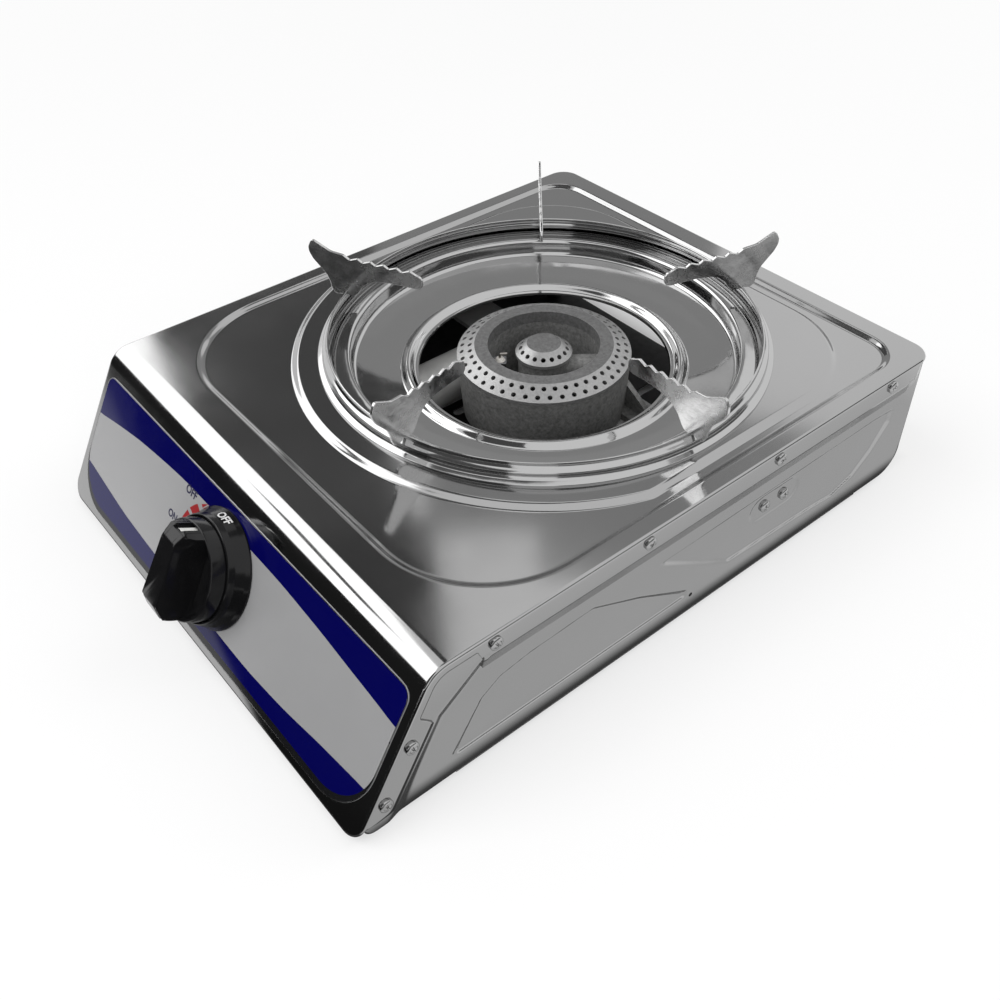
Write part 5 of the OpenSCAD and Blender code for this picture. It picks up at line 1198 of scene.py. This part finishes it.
class STOVE_OT_trivet(bpy.types.Operator):
    """Roll the trivet's ring and stamp its arms"""
    bl_idname = "stove.trivet"
    bl_label = "Trivet"
    bl_options = {"REGISTER", "UNDO"}

    def execute(self, context):
        build_trivet()
        return {"FINISHED"}


class STOVE_OT_burner(bpy.types.Operator):
    """Give the burner's castings their rough finish"""
    bl_idname = "stove.burner"
    bl_label = "Burner"
    bl_options = {"REGISTER", "UNDO"}

    def execute(self, context):
        dress_burner()
        return {"FINISHED"}


class STOVE_OT_ignition(bpy.types.Operator):
    """Make the ignition electrode and its lead"""
    bl_idname = "stove.ignition"
    bl_label = "Ignition"
    bl_options = {"REGISTER", "UNDO"}

    def execute(self, context):
        build_ignition()
        return {"FINISHED"}


class STOVE_OT_label(bpy.types.Operator):
    """Print the label"""
    bl_idname = "stove.label"
    bl_label = "Label"
    bl_options = {"REGISTER", "UNDO"}

    def execute(self, context):
        build_label()
        return {"FINISHED"}


class STOVE_OT_knob(bpy.types.Operator):
    """Mould the knob and its bezel"""
    bl_idname = "stove.knob"
    bl_label = "Knob"
    bl_options = {"REGISTER", "UNDO"}

    def execute(self, context):
        build_knob()
        return {"FINISHED"}


class STOVE_OT_screws(bpy.types.Operator):
    """Make the screw heads"""
    bl_idname = "stove.screws"
    bl_label = "Screws"
    bl_options = {"REGISTER", "UNDO"}

    def execute(self, context):
        build_screws()
        return {"FINISHED"}


class STOVE_OT_gas_train(bpy.types.Operator):
    """Finish the valve, pipes, nozzles and mixing tube"""
    bl_idname = "stove.gas_train"
    bl_label = "Gas train"
    bl_options = {"REGISTER", "UNDO"}

    def execute(self, context):
        dress_gas_train()
        return {"FINISHED"}


class STOVE_OT_base(bpy.types.Operator):
    """Finish the rear panel, bridge, bottom plate and feet"""
    bl_idname = "stove.base"
    bl_label = "Base"
    bl_options = {"REGISTER", "UNDO"}

    def execute(self, context):
        dress_base()
        return {"FINISHED"}


class STOVE_OT_studio(bpy.types.Operator):
    """Set up the floor, lamps, cards and camera"""
    bl_idname = "stove.studio"
    bl_label = "Studio"
    bl_options = {"REGISTER", "UNDO"}

    def execute(self, context):
        build_studio()
        return {"FINISHED"}


OPERATORS = (STOVE_OT_studio, STOVE_OT_shell, STOVE_OT_side_panels, STOVE_OT_drip_pan, STOVE_OT_trivet,
             STOVE_OT_burner, STOVE_OT_ignition, STOVE_OT_label, STOVE_OT_knob, STOVE_OT_screws,
             STOVE_OT_gas_train, STOVE_OT_base)


class STOVE_PT_pieces(bpy.types.Panel):
    """Lists the stove's pieces and their settings"""
    bl_idname = "STOVE_PT_pieces"
    bl_label = "Stove"
    bl_space_type = "VIEW_3D"
    bl_region_type = "UI"
    bl_category = "Stove"

    def draw(self, context):
        for name in StoveFinish.__annotations__:
            self.layout.prop(context.scene.stove_finish, name)
        for operator in OPERATORS:
            self.layout.operator(operator.bl_idname)


CLASSES = (StoveFinish, *OPERATORS, STOVE_PT_pieces)


def register():
    for item in CLASSES:
        bpy.utils.register_class(item)
    bpy.types.Scene.stove_finish = bpy.props.PointerProperty(type=StoveFinish)


def unregister():
    del bpy.types.Scene.stove_finish
    for item in reversed(CLASSES):
        bpy.utils.unregister_class(item)


def main():
    register()
    for operator in OPERATORS:
        group, name = operator.bl_idname.split(".")
        getattr(getattr(bpy.ops, group), name)()


if __name__ == "__main__":
    main()
